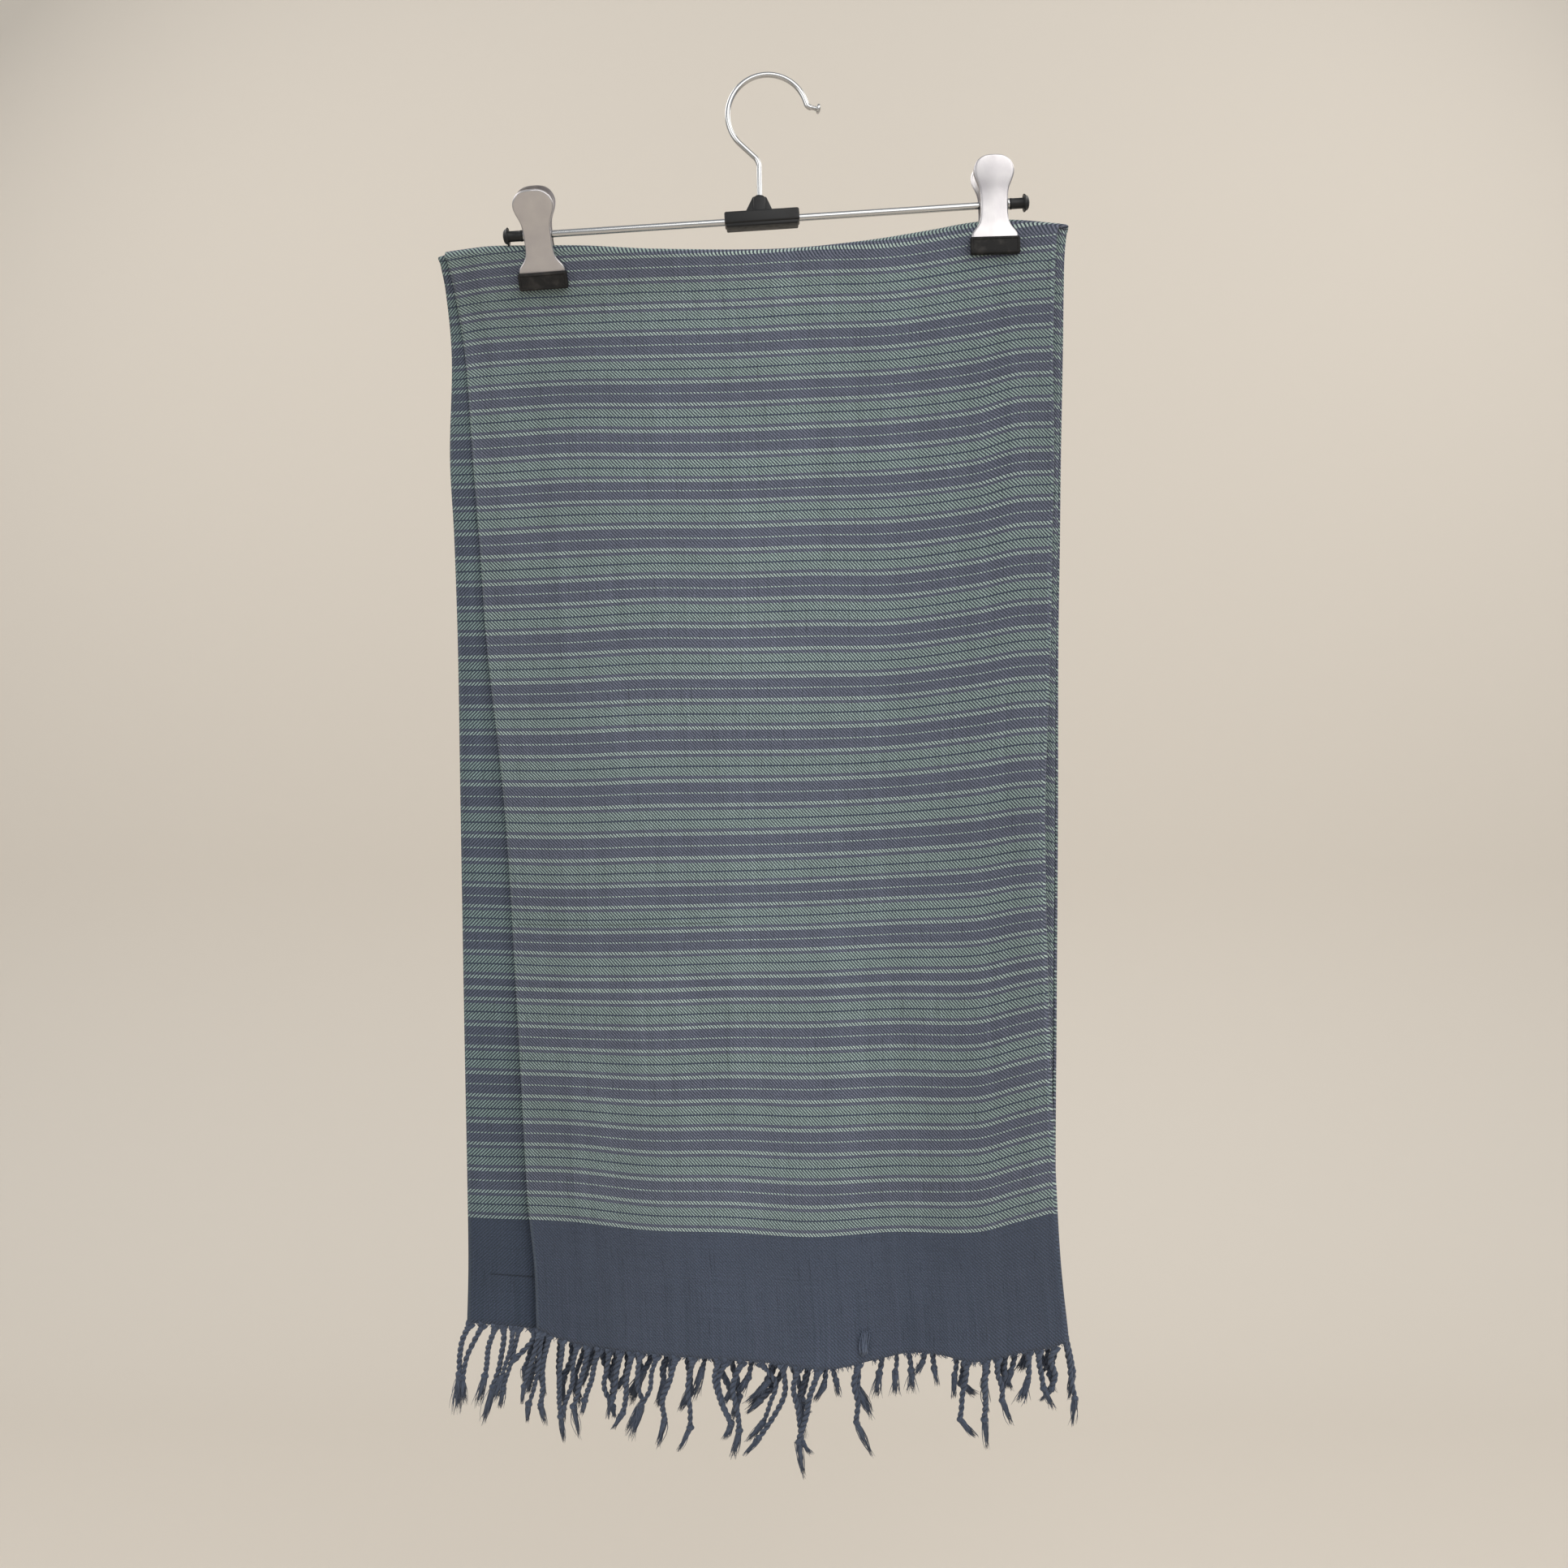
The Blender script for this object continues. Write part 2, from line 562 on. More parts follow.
def closed_wall(front_rows, back_rows):
    """Points and faces of a closed wall between two grids of points."""
    rows, columns = front_rows.shape[:2]
    points = np.concatenate([front_rows.reshape(-1, 3), back_rows.reshape(-1, 3)])
    index = np.arange(rows * columns).reshape(rows, columns)
    back = index + rows * columns
    quads = []

    def strip(a, b, c, d):
        quads.append(np.stack([a.ravel(), b.ravel(), c.ravel(), d.ravel()], axis=1))

    strip(index[1:, :-1], index[1:, 1:], index[:-1, 1:], index[:-1, :-1])
    strip(back[:-1, :-1], back[:-1, 1:], back[1:, 1:], back[1:, :-1])
    strip(index[:-1, 0], back[:-1, 0], back[1:, 0], index[1:, 0])
    strip(index[1:, -1], back[1:, -1], back[:-1, -1], index[:-1, -1])
    strip(index[0, 1:], back[0, 1:], back[0, :-1], index[0, :-1])
    strip(index[-1, :-1], back[-1, :-1], back[-1, 1:], index[-1, 1:])
    return points, np.concatenate(quads)


# ---- small mesh helpers --------------------------------------------------------------------------

def mesh_object(name, points, faces, material):
    """Object from points in millimetres and faces, smooth."""
    mesh = bpy.data.meshes.new(name)
    mesh.from_pydata((np.asarray(points) * MM).tolist(), [], [list(map(int, f)) for f in faces])
    mesh.update()
    mesh.shade_smooth()
    made = bpy.data.objects.new(name, mesh)
    bpy.context.scene.collection.objects.link(made)
    mesh.materials.append(material)
    return made


def add_attribute(made, name, kind, values):
    attribute = made.data.attributes.new(name, kind, "POINT")
    field = "vector" if kind == "FLOAT_VECTOR" else "value"
    attribute.data.foreach_set(field, np.ravel(values).astype(np.float32))


def hand_over(made, node_names):
    """A finished piece rides on the body, stands for its nodes and names its finish."""
    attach(made, BODY)
    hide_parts(*node_names)
    return made


def deselect():
    if bpy.context.mode != "OBJECT":
        bpy.ops.object.mode_set(mode="OBJECT")
    bpy.ops.object.select_all(action="DESELECT")


def pick_only(made):
    deselect()
    made.select_set(True)
    bpy.context.view_layer.objects.active = made


def finish_piece(made, name, material, angle=35):
    """Names a modelled piece, puts its place into its mesh and smooths its round stretches."""
    pick_only(made)
    bpy.ops.object.transform_apply(location=True, rotation=True, scale=True)
    bpy.ops.object.shade_smooth_by_angle(angle=radians(angle))
    made.name = name
    made.data.name = name
    made.data.materials.clear()
    made.data.materials.append(material)


def edit(made, mode="VERT"):
    pick_only(made)
    bpy.ops.object.mode_set(mode="EDIT")
    bpy.ops.mesh.select_mode(type=mode)
    bpy.ops.mesh.select_all(action="DESELECT")


def extrude(x, y, z):
    """Extrudes what is selected and carries it along."""
    bpy.ops.mesh.extrude_region_move(TRANSFORM_OT_translate={"value": (x * MM, y * MM, z * MM)})


def resize(factors, x=0.0, y=0.0, z=0.0):
    """Resizes what is selected about a point."""
    bpy.ops.transform.resize(value=factors, center_override=(x * MM, y * MM, z * MM))


def bevel_all(width, segments):
    """In edit mode, rounds all the edges."""
    bpy.ops.mesh.select_all(action="SELECT")
    bpy.ops.mesh.bevel(offset=width * MM, segments=segments, affect="EDGES")


def select_rim(made, test):
    """In edit mode, selects only the open edges whose two ends, in millimetres, pass the test."""
    bpy.ops.mesh.select_mode(type="EDGE")
    bpy.ops.mesh.select_all(action="DESELECT")
    bpy.ops.mesh.select_non_manifold(
        extend=False, use_wire=False, use_boundary=True, use_multi_face=False,
        use_non_contiguous=False, use_verts=False,
    )
    bpy.ops.object.mode_set(mode="OBJECT")
    for line in made.data.edges:
        places = [made.data.vertices[i].co / MM for i in line.vertices]
        line.select = line.select and test(*places)
    bpy.ops.object.mode_set(mode="EDIT")


def select_where(made, test, kind="VERT"):
    """In edit mode, selects only the vertices, edges or faces whose middle passes the test, in
    millimetres."""
    bpy.ops.mesh.select_mode(type=kind)
    bpy.ops.mesh.select_all(action="DESELECT")
    bpy.ops.object.mode_set(mode="OBJECT")
    mesh = made.data
    group = {"VERT": mesh.vertices, "EDGE": mesh.edges, "FACE": mesh.polygons}[kind]
    for item in group:
        if kind == "VERT":
            place, normal = item.co, item.normal
        elif kind == "EDGE":
            place, normal = sum((mesh.vertices[i].co for i in item.vertices), Vector()) / 2, None
        else:
            place, normal = item.center, item.normal
        item.select = bool(test(place / MM, normal))
    bpy.ops.object.mode_set(mode="EDIT")


def apply_modifier(made, kind, **settings):
    pick_only(made)
    modifier = made.modifiers.new(kind.title(), kind)
    for key, value in settings.items():
        setattr(modifier, key, value)
    bpy.ops.object.modifier_apply(modifier=modifier.name)


def recalculate(made):
    edit(made)
    bpy.ops.mesh.select_all(action="SELECT")
    bpy.ops.mesh.remove_doubles(threshold=0.01 * MM)
    bpy.ops.mesh.fill_holes(sides=0)
    bpy.ops.mesh.select_all(action="SELECT")
    bpy.ops.mesh.normals_make_consistent(inside=False)
    bpy.ops.object.mode_set(mode="OBJECT")


def place_piece(made, matrix):
    """Moves a finished mesh from its own frame, in metres, to its place."""
    made.data.transform(matrix)
    return made


# ---- shader maths --------------------------------------------------------------------------------

class Value:
    """A shader number that can stand in Python expressions; each operation adds a Math node."""

    def __init__(self, shader, socket):
        self.shader = shader
        self.socket = socket

    def math(self, operation, *others):
        inputs = dict(enumerate((self, *others)))
        return self.shader.node("ShaderNodeMath", {"operation": operation}, inputs)

    def __add__(self, other):
        return self.math("ADD", other)

    __radd__ = __add__

    def __mul__(self, other):
        return self.math("MULTIPLY", other)

    __rmul__ = __mul__

    def __sub__(self, other):
        return self.math("SUBTRACT", other)

    def __rsub__(self, other):
        return self.shader.node("ShaderNodeMath", {"operation": "SUBTRACT"}, {0: other, 1: self})

    def __truediv__(self, other):
        return self.math("DIVIDE", other)

    def above(self, limit):
        return self.math("GREATER_THAN", limit)

    def below(self, limit):
        return self.math("LESS_THAN", limit)

    def fraction(self):
        return self.math("FRACT")

    def size(self):
        return self.math("ABSOLUTE")

    def largest(self, other):
        return self.math("MAXIMUM", other)

    def smallest(self, other):
        return self.math("MINIMUM", other)

    def ramp(self, low, high):
        """0 at `low` and 1 at `high`, smooth between them."""
        return self.shader.node(
            "ShaderNodeMapRange",
            {"interpolation_type": "SMOOTHSTEP"},
            {"Value": self, "From Min": low, "From Max": high},
        )


class Shader:
    """The node tree of one material around its Principled shader."""

    def __init__(self, name, **constants):
        self.material = bpy.data.materials.new(name)
        self.material.use_nodes = True
        self.tree = self.material.node_tree
        self.surface = self.tree.nodes["Principled BSDF"]
        for socket, value in constants.items():
            self.surface.inputs[socket.replace("_", " ")].default_value = value

    def node(self, kind, settings=None, inputs=None, output=0):
        """Adds a node, sets it, then sets or links its sockets; gives one output as a Value."""
        made = self.tree.nodes.new(kind)
        for key, value in (settings or {}).items():
            setattr(made, key, value)
        for key, value in (inputs or {}).items():
            socket = made.inputs[key]
            if isinstance(value, Value):
                self.tree.links.new(value.socket, socket)
            else:
                socket.default_value = value
        return Value(self, made.outputs[output])

    def attribute(self, name, output="Fac"):
        return self.node("ShaderNodeAttribute", {"attribute_name": name}, output=output)

    def parts(self, vector):
        separate = self.node("ShaderNodeSeparateXYZ", inputs={0: vector})
        outputs = separate.socket.node.outputs
        return [Value(self, outputs[i]) for i in range(3)]

    def vector(self, x=0.0, y=0.0, z=0.0):
        return self.node("ShaderNodeCombineXYZ", inputs={0: x, 1: y, 2: z})

    def noise(self, vector, scale, detail=2.0, roughness=0.5):
        return self.node(
            "ShaderNodeTexNoise",
            inputs={"Vector": vector, "Scale": scale, "Detail": detail, "Roughness": roughness},
        )

    def mix(self, factor, first, second, blend="MIX"):
        """Mixes two colours, each a Value or three plain numbers."""
        first, second = (c if isinstance(c, Value) else (*c, 1.0) for c in (first, second))
        return self.node(
            "ShaderNodeMix",
            {"data_type": "RGBA", "blend_type": blend},
            {0: factor, 6: first, 7: second},
            output=2,
        )

    def place(self):
        return self.node("ShaderNodeTexCoord", output="Object")

    def bump(self, height, distance, strength=1.0):
        normal = self.node(
            "ShaderNodeBump", inputs={"Height": height, "Distance": distance, "Strength": strength}
        )
        self.feed("Normal", normal)

    def feed(self, socket, value):
        self.tree.links.new(value.socket, self.surface.inputs[socket])

    def grey(self, value):
        """A number as a grey colour, for multiplying."""
        return self.node("ShaderNodeCombineColor", inputs={0: value, 1: value, 2: value})


def linear(colour):
    """A colour as it is seen, from 0 to 255, in linear light."""
    share = [c / 255 for c in colour]
    return tuple(c / 12.92 if c <= 0.04045 else ((c + 0.055) / 1.055) ** 2.4 for c in share)


# ---- materials -----------------------------------------------------------------------------------

def striped_cloth(look):
    """2/2 twill of slate warp with slate and green weft stripes, plain slate at both ends."""
    s = Shader("striped_twill", Roughness=0.88, Sheen_Weight=0.12, Sheen_Roughness=0.5,
               Specular_IOR_Level=0.25)
    across, along, face = s.parts(s.attribute("weave", "Vector"))
    place = s.attribute("stripe")

    short = place.above(0.0) * place.below(1.0)
    repeat = REPEAT - (REPEAT - SHORT_REPEAT) * short
    from_green = (((place + 0.5).fraction() - 0.5).size()) * repeat
    border = place.above(LAST_GREEN + (LIGHT_TO + 0.1) / REPEAT)
    border = border + place.below(-REAR_GREENS - (LIGHT_TO + 0.1) / REPEAT)
    woven = 1.0 - border
    green = from_green.below(GREEN_HALF) * woven
    light = from_green.above(LIGHT_FROM) * from_green.below(LIGHT_TO) * woven
    dark_line = from_green.below(LINE_HALF) * woven
    wide = (place - WIDE_DOTS_AT).size().below(0.5)
    dots = from_green.above(REPEAT / 2 - DOTS_HALF - 0.75 * wide) * woven

    ends = across * (4.0 / TWILL)
    picks = along * (4.0 / TWILL)
    step = (ends - picks) * 0.25
    wander = s.noise(s.vector(across * 0.35, along * 0.35, 1.0), 1.0, 2.0) * 0.16
    diagonal = (step + wander - 0.25 * face).fraction()
    from_float = (diagonal - 0.5).size()
    over = 1.0 - from_float.ramp(0.2, 0.31)
    across_pick = (picks.fraction() * 2.0 - 1.0).size()
    across_end = (ends.fraction() * 2.0 - 1.0).size()
    round_pick = 1.0 - across_pick * across_pick
    round_end = 1.0 - across_end * across_end
    height = over * (0.6 + 0.4 * round_pick) + (1.0 - over) * (0.12 + 0.35 * round_end)

    pick_shade = s.noise(s.vector(across * 0.02, along * 1.9, 0.0), 1.0, 3.0)
    end_shade = s.noise(s.vector(across * 1.9, along * 0.012, 5.0), 1.0, 3.0)
    slubs = s.noise(s.vector(across * 0.9, along * 0.05, 7.0), 1.0, 2.0).ramp(0.6, 0.74)
    streaks = s.noise(s.vector(across * 0.12, along * 0.003, 9.0), 1.0, 2.0)
    blotch = s.noise(s.vector(across * 0.02, along * 0.02, 3.0), 1.0, 3.0)
    selvedge = across.smallest(2 * LAYER_WIDTH - across)

    weft = s.mix(green, look.slate_weft, look.green_weft)
    weft = s.mix(light.largest(dots), weft, look.light_weft)
    weft = s.mix(dark_line, weft, look.slate_warp)
    weft = s.mix(border, weft, look.border_weft)
    warp = s.mix(end_shade.ramp(0.25, 0.75), look.slate_warp, look.purple_warp)
    warp = s.mix(selvedge.below(1.8) * 0.15, warp, look.green_weft)
    colour = s.mix(over, warp, weft)
    speckle = s.noise(s.vector(across * 1.15, along * 1.15, 11.0), 1.0, 2.0, 0.7).ramp(0.3, 0.7)
    shade = (0.46 + 0.66 * height) * (0.78 + 0.44 * pick_shade) * (0.74 + 0.52 * end_shade)
    shade = shade * (1.0 - 0.3 * slubs) * (0.85 + 0.3 * streaks) * (0.88 + 0.24 * blotch)
    at_fold = (across - LAYER_WIDTH).size().below(1.5)
    faded = across.ramp(10.0, 160.0) * (1.0 - across.ramp(190.0, 340.0))
    shade = shade * (0.92 + 0.08 * face) * (1.0 + 0.14 * at_fold) * (0.76 + 0.48 * speckle)
    shade = shade * (0.93 + 0.17 * faded)
    for start, end, line, half, dark in FOLD_MARKS:
        near = 1.0 - ((along - line).size() / half).smallest(1.0)
        shade = shade * (1.0 - across.above(start) * across.below(end) * near * dark)
    colour = s.mix(1.0, colour, s.grey(shade), "MULTIPLY")
    colour = s.mix(face.below(0.0), colour, WRONG_SIDE_TINT, "MULTIPLY")
    s.feed("Base Color", colour)
    s.bump(height + 0.3 * pick_shade + 0.2 * end_shade + 0.3 * speckle, 0.35 * MM, 0.9)
    return s.material


def yarn(look):
    """Twisted slate yarn of the tassels."""
    s = Shader("twisted_yarn", Roughness=0.85, Sheen_Weight=0.15, Specular_IOR_Level=0.25)
    around, along, depth = s.parts(s.attribute("strand", "Vector"))
    fibres = s.noise(s.vector(around * 3.0 + along * 0.9, along * 0.12, 0.0), 1.6, 4.0, 0.6)
    worn = s.noise(s.vector(along * 0.08, around * 0.3, 4.0), 1.0, 2.0)
    colour = s.mix(fibres.ramp(0.3, 0.7), look.yarn_dark, look.yarn_light)
    colour = s.mix(worn.ramp(0.45, 0.75) * 0.35, colour, look.border_weft)
    colour = s.mix(1.0, colour, s.grey(0.15 + 0.85 * depth), "MULTIPLY")
    s.feed("Base Color", colour)
    s.bump(fibres, 0.3 * MM, 0.9)
    return s.material


def chrome(look):
    """Bright chromed steel with faint wiping marks."""
    s = Shader("chromed_steel", Metallic=1.0)
    place = s.place()
    marks = s.noise(place, 900.0, 3.0)
    spots = s.noise(place, 160.0, 4.0).ramp(0.55, 0.75)
    s.feed("Base Color", s.mix(spots * 0.25, look.chrome, look.steel))
    s.feed("Roughness", 0.12 + 0.1 * marks + 0.12 * spots)
    s.bump(marks, 0.02 * MM, 0.3)
    return s.material


def brushed_steel(look):
    """Satin sheet steel, brushed up and down."""
    s = Shader("brushed_steel", Metallic=1.0)
    x, y, z = s.parts(s.place())
    lines = s.noise(s.vector(x * 2600.0, y * 2600.0, z * 70.0), 1.0, 3.0)
    cloud = s.noise(s.place(), 90.0, 3.0)
    s.feed("Base Color", s.mix(cloud, look.steel, look.steel_dull))
    s.feed("Roughness", 0.22 + 0.16 * lines + 0.1 * cloud)
    s.bump(lines, 0.03 * MM, 0.5)
    return s.material


def black_plastic(look):
    """Moulded black plastic, paler where it is rubbed."""
    s = Shader("moulded_plastic", Specular_IOR_Level=0.35)
    place = s.place()
    grain = s.noise(place, 2400.0, 2.0)
    rubbed = s.noise(place, 260.0, 4.0).ramp(0.5, 0.75)
    s.feed("Base Color", s.mix(rubbed * 0.5, look.plastic, look.plastic_rubbed))
    s.feed("Roughness", 0.4 + 0.2 * rubbed + 0.08 * grain)
    s.bump(grain, 0.03 * MM, 0.4)
    return s.material


def pad_rubber(look):
    """Soft black pads of the clips."""
    s = Shader("pad_rubber", Specular_IOR_Level=0.3)
    place = s.place()
    grain = s.noise(place, 1500.0, 3.0)
    dust = s.noise(place, 220.0, 3.0).ramp(0.45, 0.75)
    s.feed("Base Color", s.mix(dust * 0.5, look.rubber, look.rubber_dusty))
    s.feed("Roughness", 0.6 + 0.2 * grain)
    s.bump(grain, 0.05 * MM, 0.5)
    return s.material


# ---- tassels -------------------------------------------------------------------------------------

# The front tassels, left to right: x of the root, how far right the strand lies at a third and
# two thirds of its length and at its knot, its length to the knot, the length of the brush below
# it, how far right the brush leans and how wide it spreads.
TASSEL_COLUMNS = "root third two_thirds knot length brush lean spread"
FRONT_TASSELS = table(TASSEL_COLUMNS, [
    (-128.8, -2.3, -6.2, -9.2, 34.0, 8, -1.0, 3.0),
    (-127.0, -2.3, -3.7, -8.3, 43.5, 9, -1.0, 3.0),
    (-123.0, -3.7, -4.1, -5.5, 42.0, 10, 1.8, 4.0),
    (-116.0, -1.0, -2.3, -1.0, 46.0, 12, 1.4, 3.0),
    (-107.3, -2.8, -3.9, -8.3, 38.0, 8, -0.5, 3.0),
    (-101.3, -2.5, -5.0, -8.7, 37.0, 15, 2.8, 4.0),
    (-94.5, -3.7, -6.0, -9.2, 31.0, 7, -1.4, 3.0),
    (-89.0, -2.3, -3.2, 1.4, 33.5, 5, 1.0, 3.0),
    (-83.0, -1.6, -2.8, -4.6, 27.5, 6, -1.0, 3.0),
    (-76.5, -2.8, -3.4, -5.5, 36.0, 9, -6.0, 5.0),
    (-71.5, -2.3, -2.0, 1.0, 29.5, 17, -9.0, 5.0),
    (-62.4, -2.8, -4.4, -9.2, 31.0, 16, -4.6, 5.0),
    (-51.5, -3.7, -7.8, -6.9, 37.6, 13, -3.5, 3.0),
    (-42.0, -2.8, -2.3, -1.8, 41.3, 12, -6.0, 3.5),
    (-27.5, -2.8, 1.4, 6.9, 38.0, 7, -3.7, 5.0),
    (-22.5, -6.0, -3.2, 1.8, 36.7, 6, -1.0, 4.0),
    (-13.8, -6.0, -3.7, -2.3, 41.3, 13, -3.0, 6.0),
    (-4.6, 8.7, 6.2, 1.8, 36.0, 11, -9.0, 7.0),
    (8.3, 1.4, -3.7, -13.3, 42.6, 10, -8.0, 3.0),
    (17.4, -2.8, 0.5, 1.8, 43.0, 7, 6.0, 4.0),
    (28.9, -4.4, -7.8, -11.5, 43.0, 17, 2.8, 4.0),
    (51.4, -2.5, -0.9, -1.4, 35.0, 17, 7.8, 4.0),
    (112.3, -0.5, -2.3, -3.7, 33.5, 10, 9.0, 6.0),
    (122.9, 0.0, -0.3, -0.5, 34.4, 13, 1.4, 3.5),
    (130.0, 0.0, 2.3, 2.3, 25.0, 12, 4.6, 4.0),
    (147.6, 0.0, 0.0, -0.9, 18.3, 10, -3.0, 9.0),
    (153.5, 0.0, 0.9, 2.3, 23.0, 11, 5.5, 5.0),
    (163.0, -3.0, -1.0, -3.0, 25.0, 7, -6.0, 4.0),
    (168.0, 2.3, 3.7, 5.5, 34.0, 12, -1.4, 4.0),
])
# the tassels of the layer under it: those of the strip at the left, then the short and frayed
# ones that show between the front ones
UNDER_TASSELS = table(TASSEL_COLUMNS, [
    (-167.5, -5.5, -6.5, -7.0, 32.0, 18, -1.5, 9.0),
    (-160.5, -6.0, -10.0, -12.5, 33.0, 12, 1.0, 5.0),
    (-153.5, -3.5, -5.0, -6.5, 31.5, 15, -4.0, 7.0),
    (-149.5, 0.0, -2.5, -6.0, 38.0, 18, -5.0, 5.0),
    (-143.5, -1.5, -4.0, -7.0, 31.0, 12, -4.0, 8.0),
    (-140.5, -2.3, -6.0, -9.2, 37.0, 9, -1.5, 3.5),
    (-132.5, 0.0, -4.0, -10.0, 18.0, 6, -5.0, 3.0),
    (-84.0, -1.0, -3.0, -5.0, 38.0, 8, -1.0, 3.0),
    (-53.5, -0.5, -0.8, -1.0, 15.0, 4, -0.5, 3.0),
    (-36.0, 0.3, 0.0, -1.0, 17.0, 15, -4.6, 9.0),
    (-8.7, -0.2, -0.6, -2.3, 19.5, 10, -6.4, 6.0),
    (1.4, 0.3, 0.4, -0.5, 20.5, 10, -8.0, 6.0),
    (31.2, 1.0, 1.5, 0.5, 21.0, 9, -4.6, 5.0),
    (38.5, -1.0, -1.8, 0.0, 18.5, 8, 1.4, 5.0),
    (64.0, 0.0, 0.0, -1.0, 18.0, 11, -1.5, 7.0),
    (72.0, 0.5, 0.5, 0.0, 19.0, 11, 0.0, 7.0),
    (80.0, 0.0, 0.5, 1.0, 19.0, 10, 1.0, 8.0),
    (90.0, -0.5, -1.5, -2.5, 14.0, 7, -4.0, 4.0),
    (94.5, -0.5, -1.0, -0.5, 17.0, 8, 1.5, 4.0),
    (107.5, -0.5, -1.0, -2.0, 20.0, 10, 0.0, 4.0),
    (126.5, -1.0, -1.8, -2.8, 18.0, 7, -2.3, 4.0),
    (133.9, 0.0, 0.0, 0.0, 20.0, 7, -1.0, 4.0),
    (139.5, 0.9, 0.0, -2.3, 20.0, 8, -2.8, 5.0),
    (158.0, 0.0, 0.5, 1.5, 24.0, 8, 2.0, 4.0),
])

PLY_TURN = 6.9  # one turn of the two plies
PLY_R = 1.0
PLY_OFF = 0.75  # from the middle of the strand to the middle of a ply
PLY_SIDES = 9
PLY_STEP = 0.62  # from ring to ring along a ply
ROOT_HALF = 2.9  # half the width of warp ends that gather into a strand
GATHER = 5.0  # length over which they gather
KNOT_R = 2.15
KNOT_HALF = 1.8
KNOT_RISE = 0.12  # a knot's middle lies this share of its brush above the table's length
BRUSH_GAIN = 1.18  # and its brush is this much longer than the table's
BRUSH_CORE = np.array([1.6, 1.8, 1.9, 1.8, 1.6, 1.3, 0.95, 0.5, 0.1])  # radii down a brush
FIBRE_R = 0.19
FIBRE_TAPER = np.array([1.3, 1.3, 1.1, 0.8, 0.25])
FUZZ_TAPER = np.array([1.2, 1.2, 1.1, 0.9, 0.3])
HEM_FUZZ = 520  # loose ends along a hem
# frayed tufts that lie turned up over the front of a border: x, how far above the hem they start
# and how long they are
TURNED_UP = {"front_panel": [(54.2, 5.0, 13.5)]}


def rings_to_faces(count, sides, start):
    """Faces of a tube through rings, with its ends closed."""
    faces = []
    for r in range(count - 1):
        for i in range(sides):
            a, b = start + r * sides + i, start + r * sides + (i + 1) % sides
            faces.append((a, b, b + sides, a + sides))
    faces.append(tuple(start + i for i in reversed(range(sides))))
    last = start + (count - 1) * sides
    faces.append(tuple(last + i for i in range(sides)))
    return faces


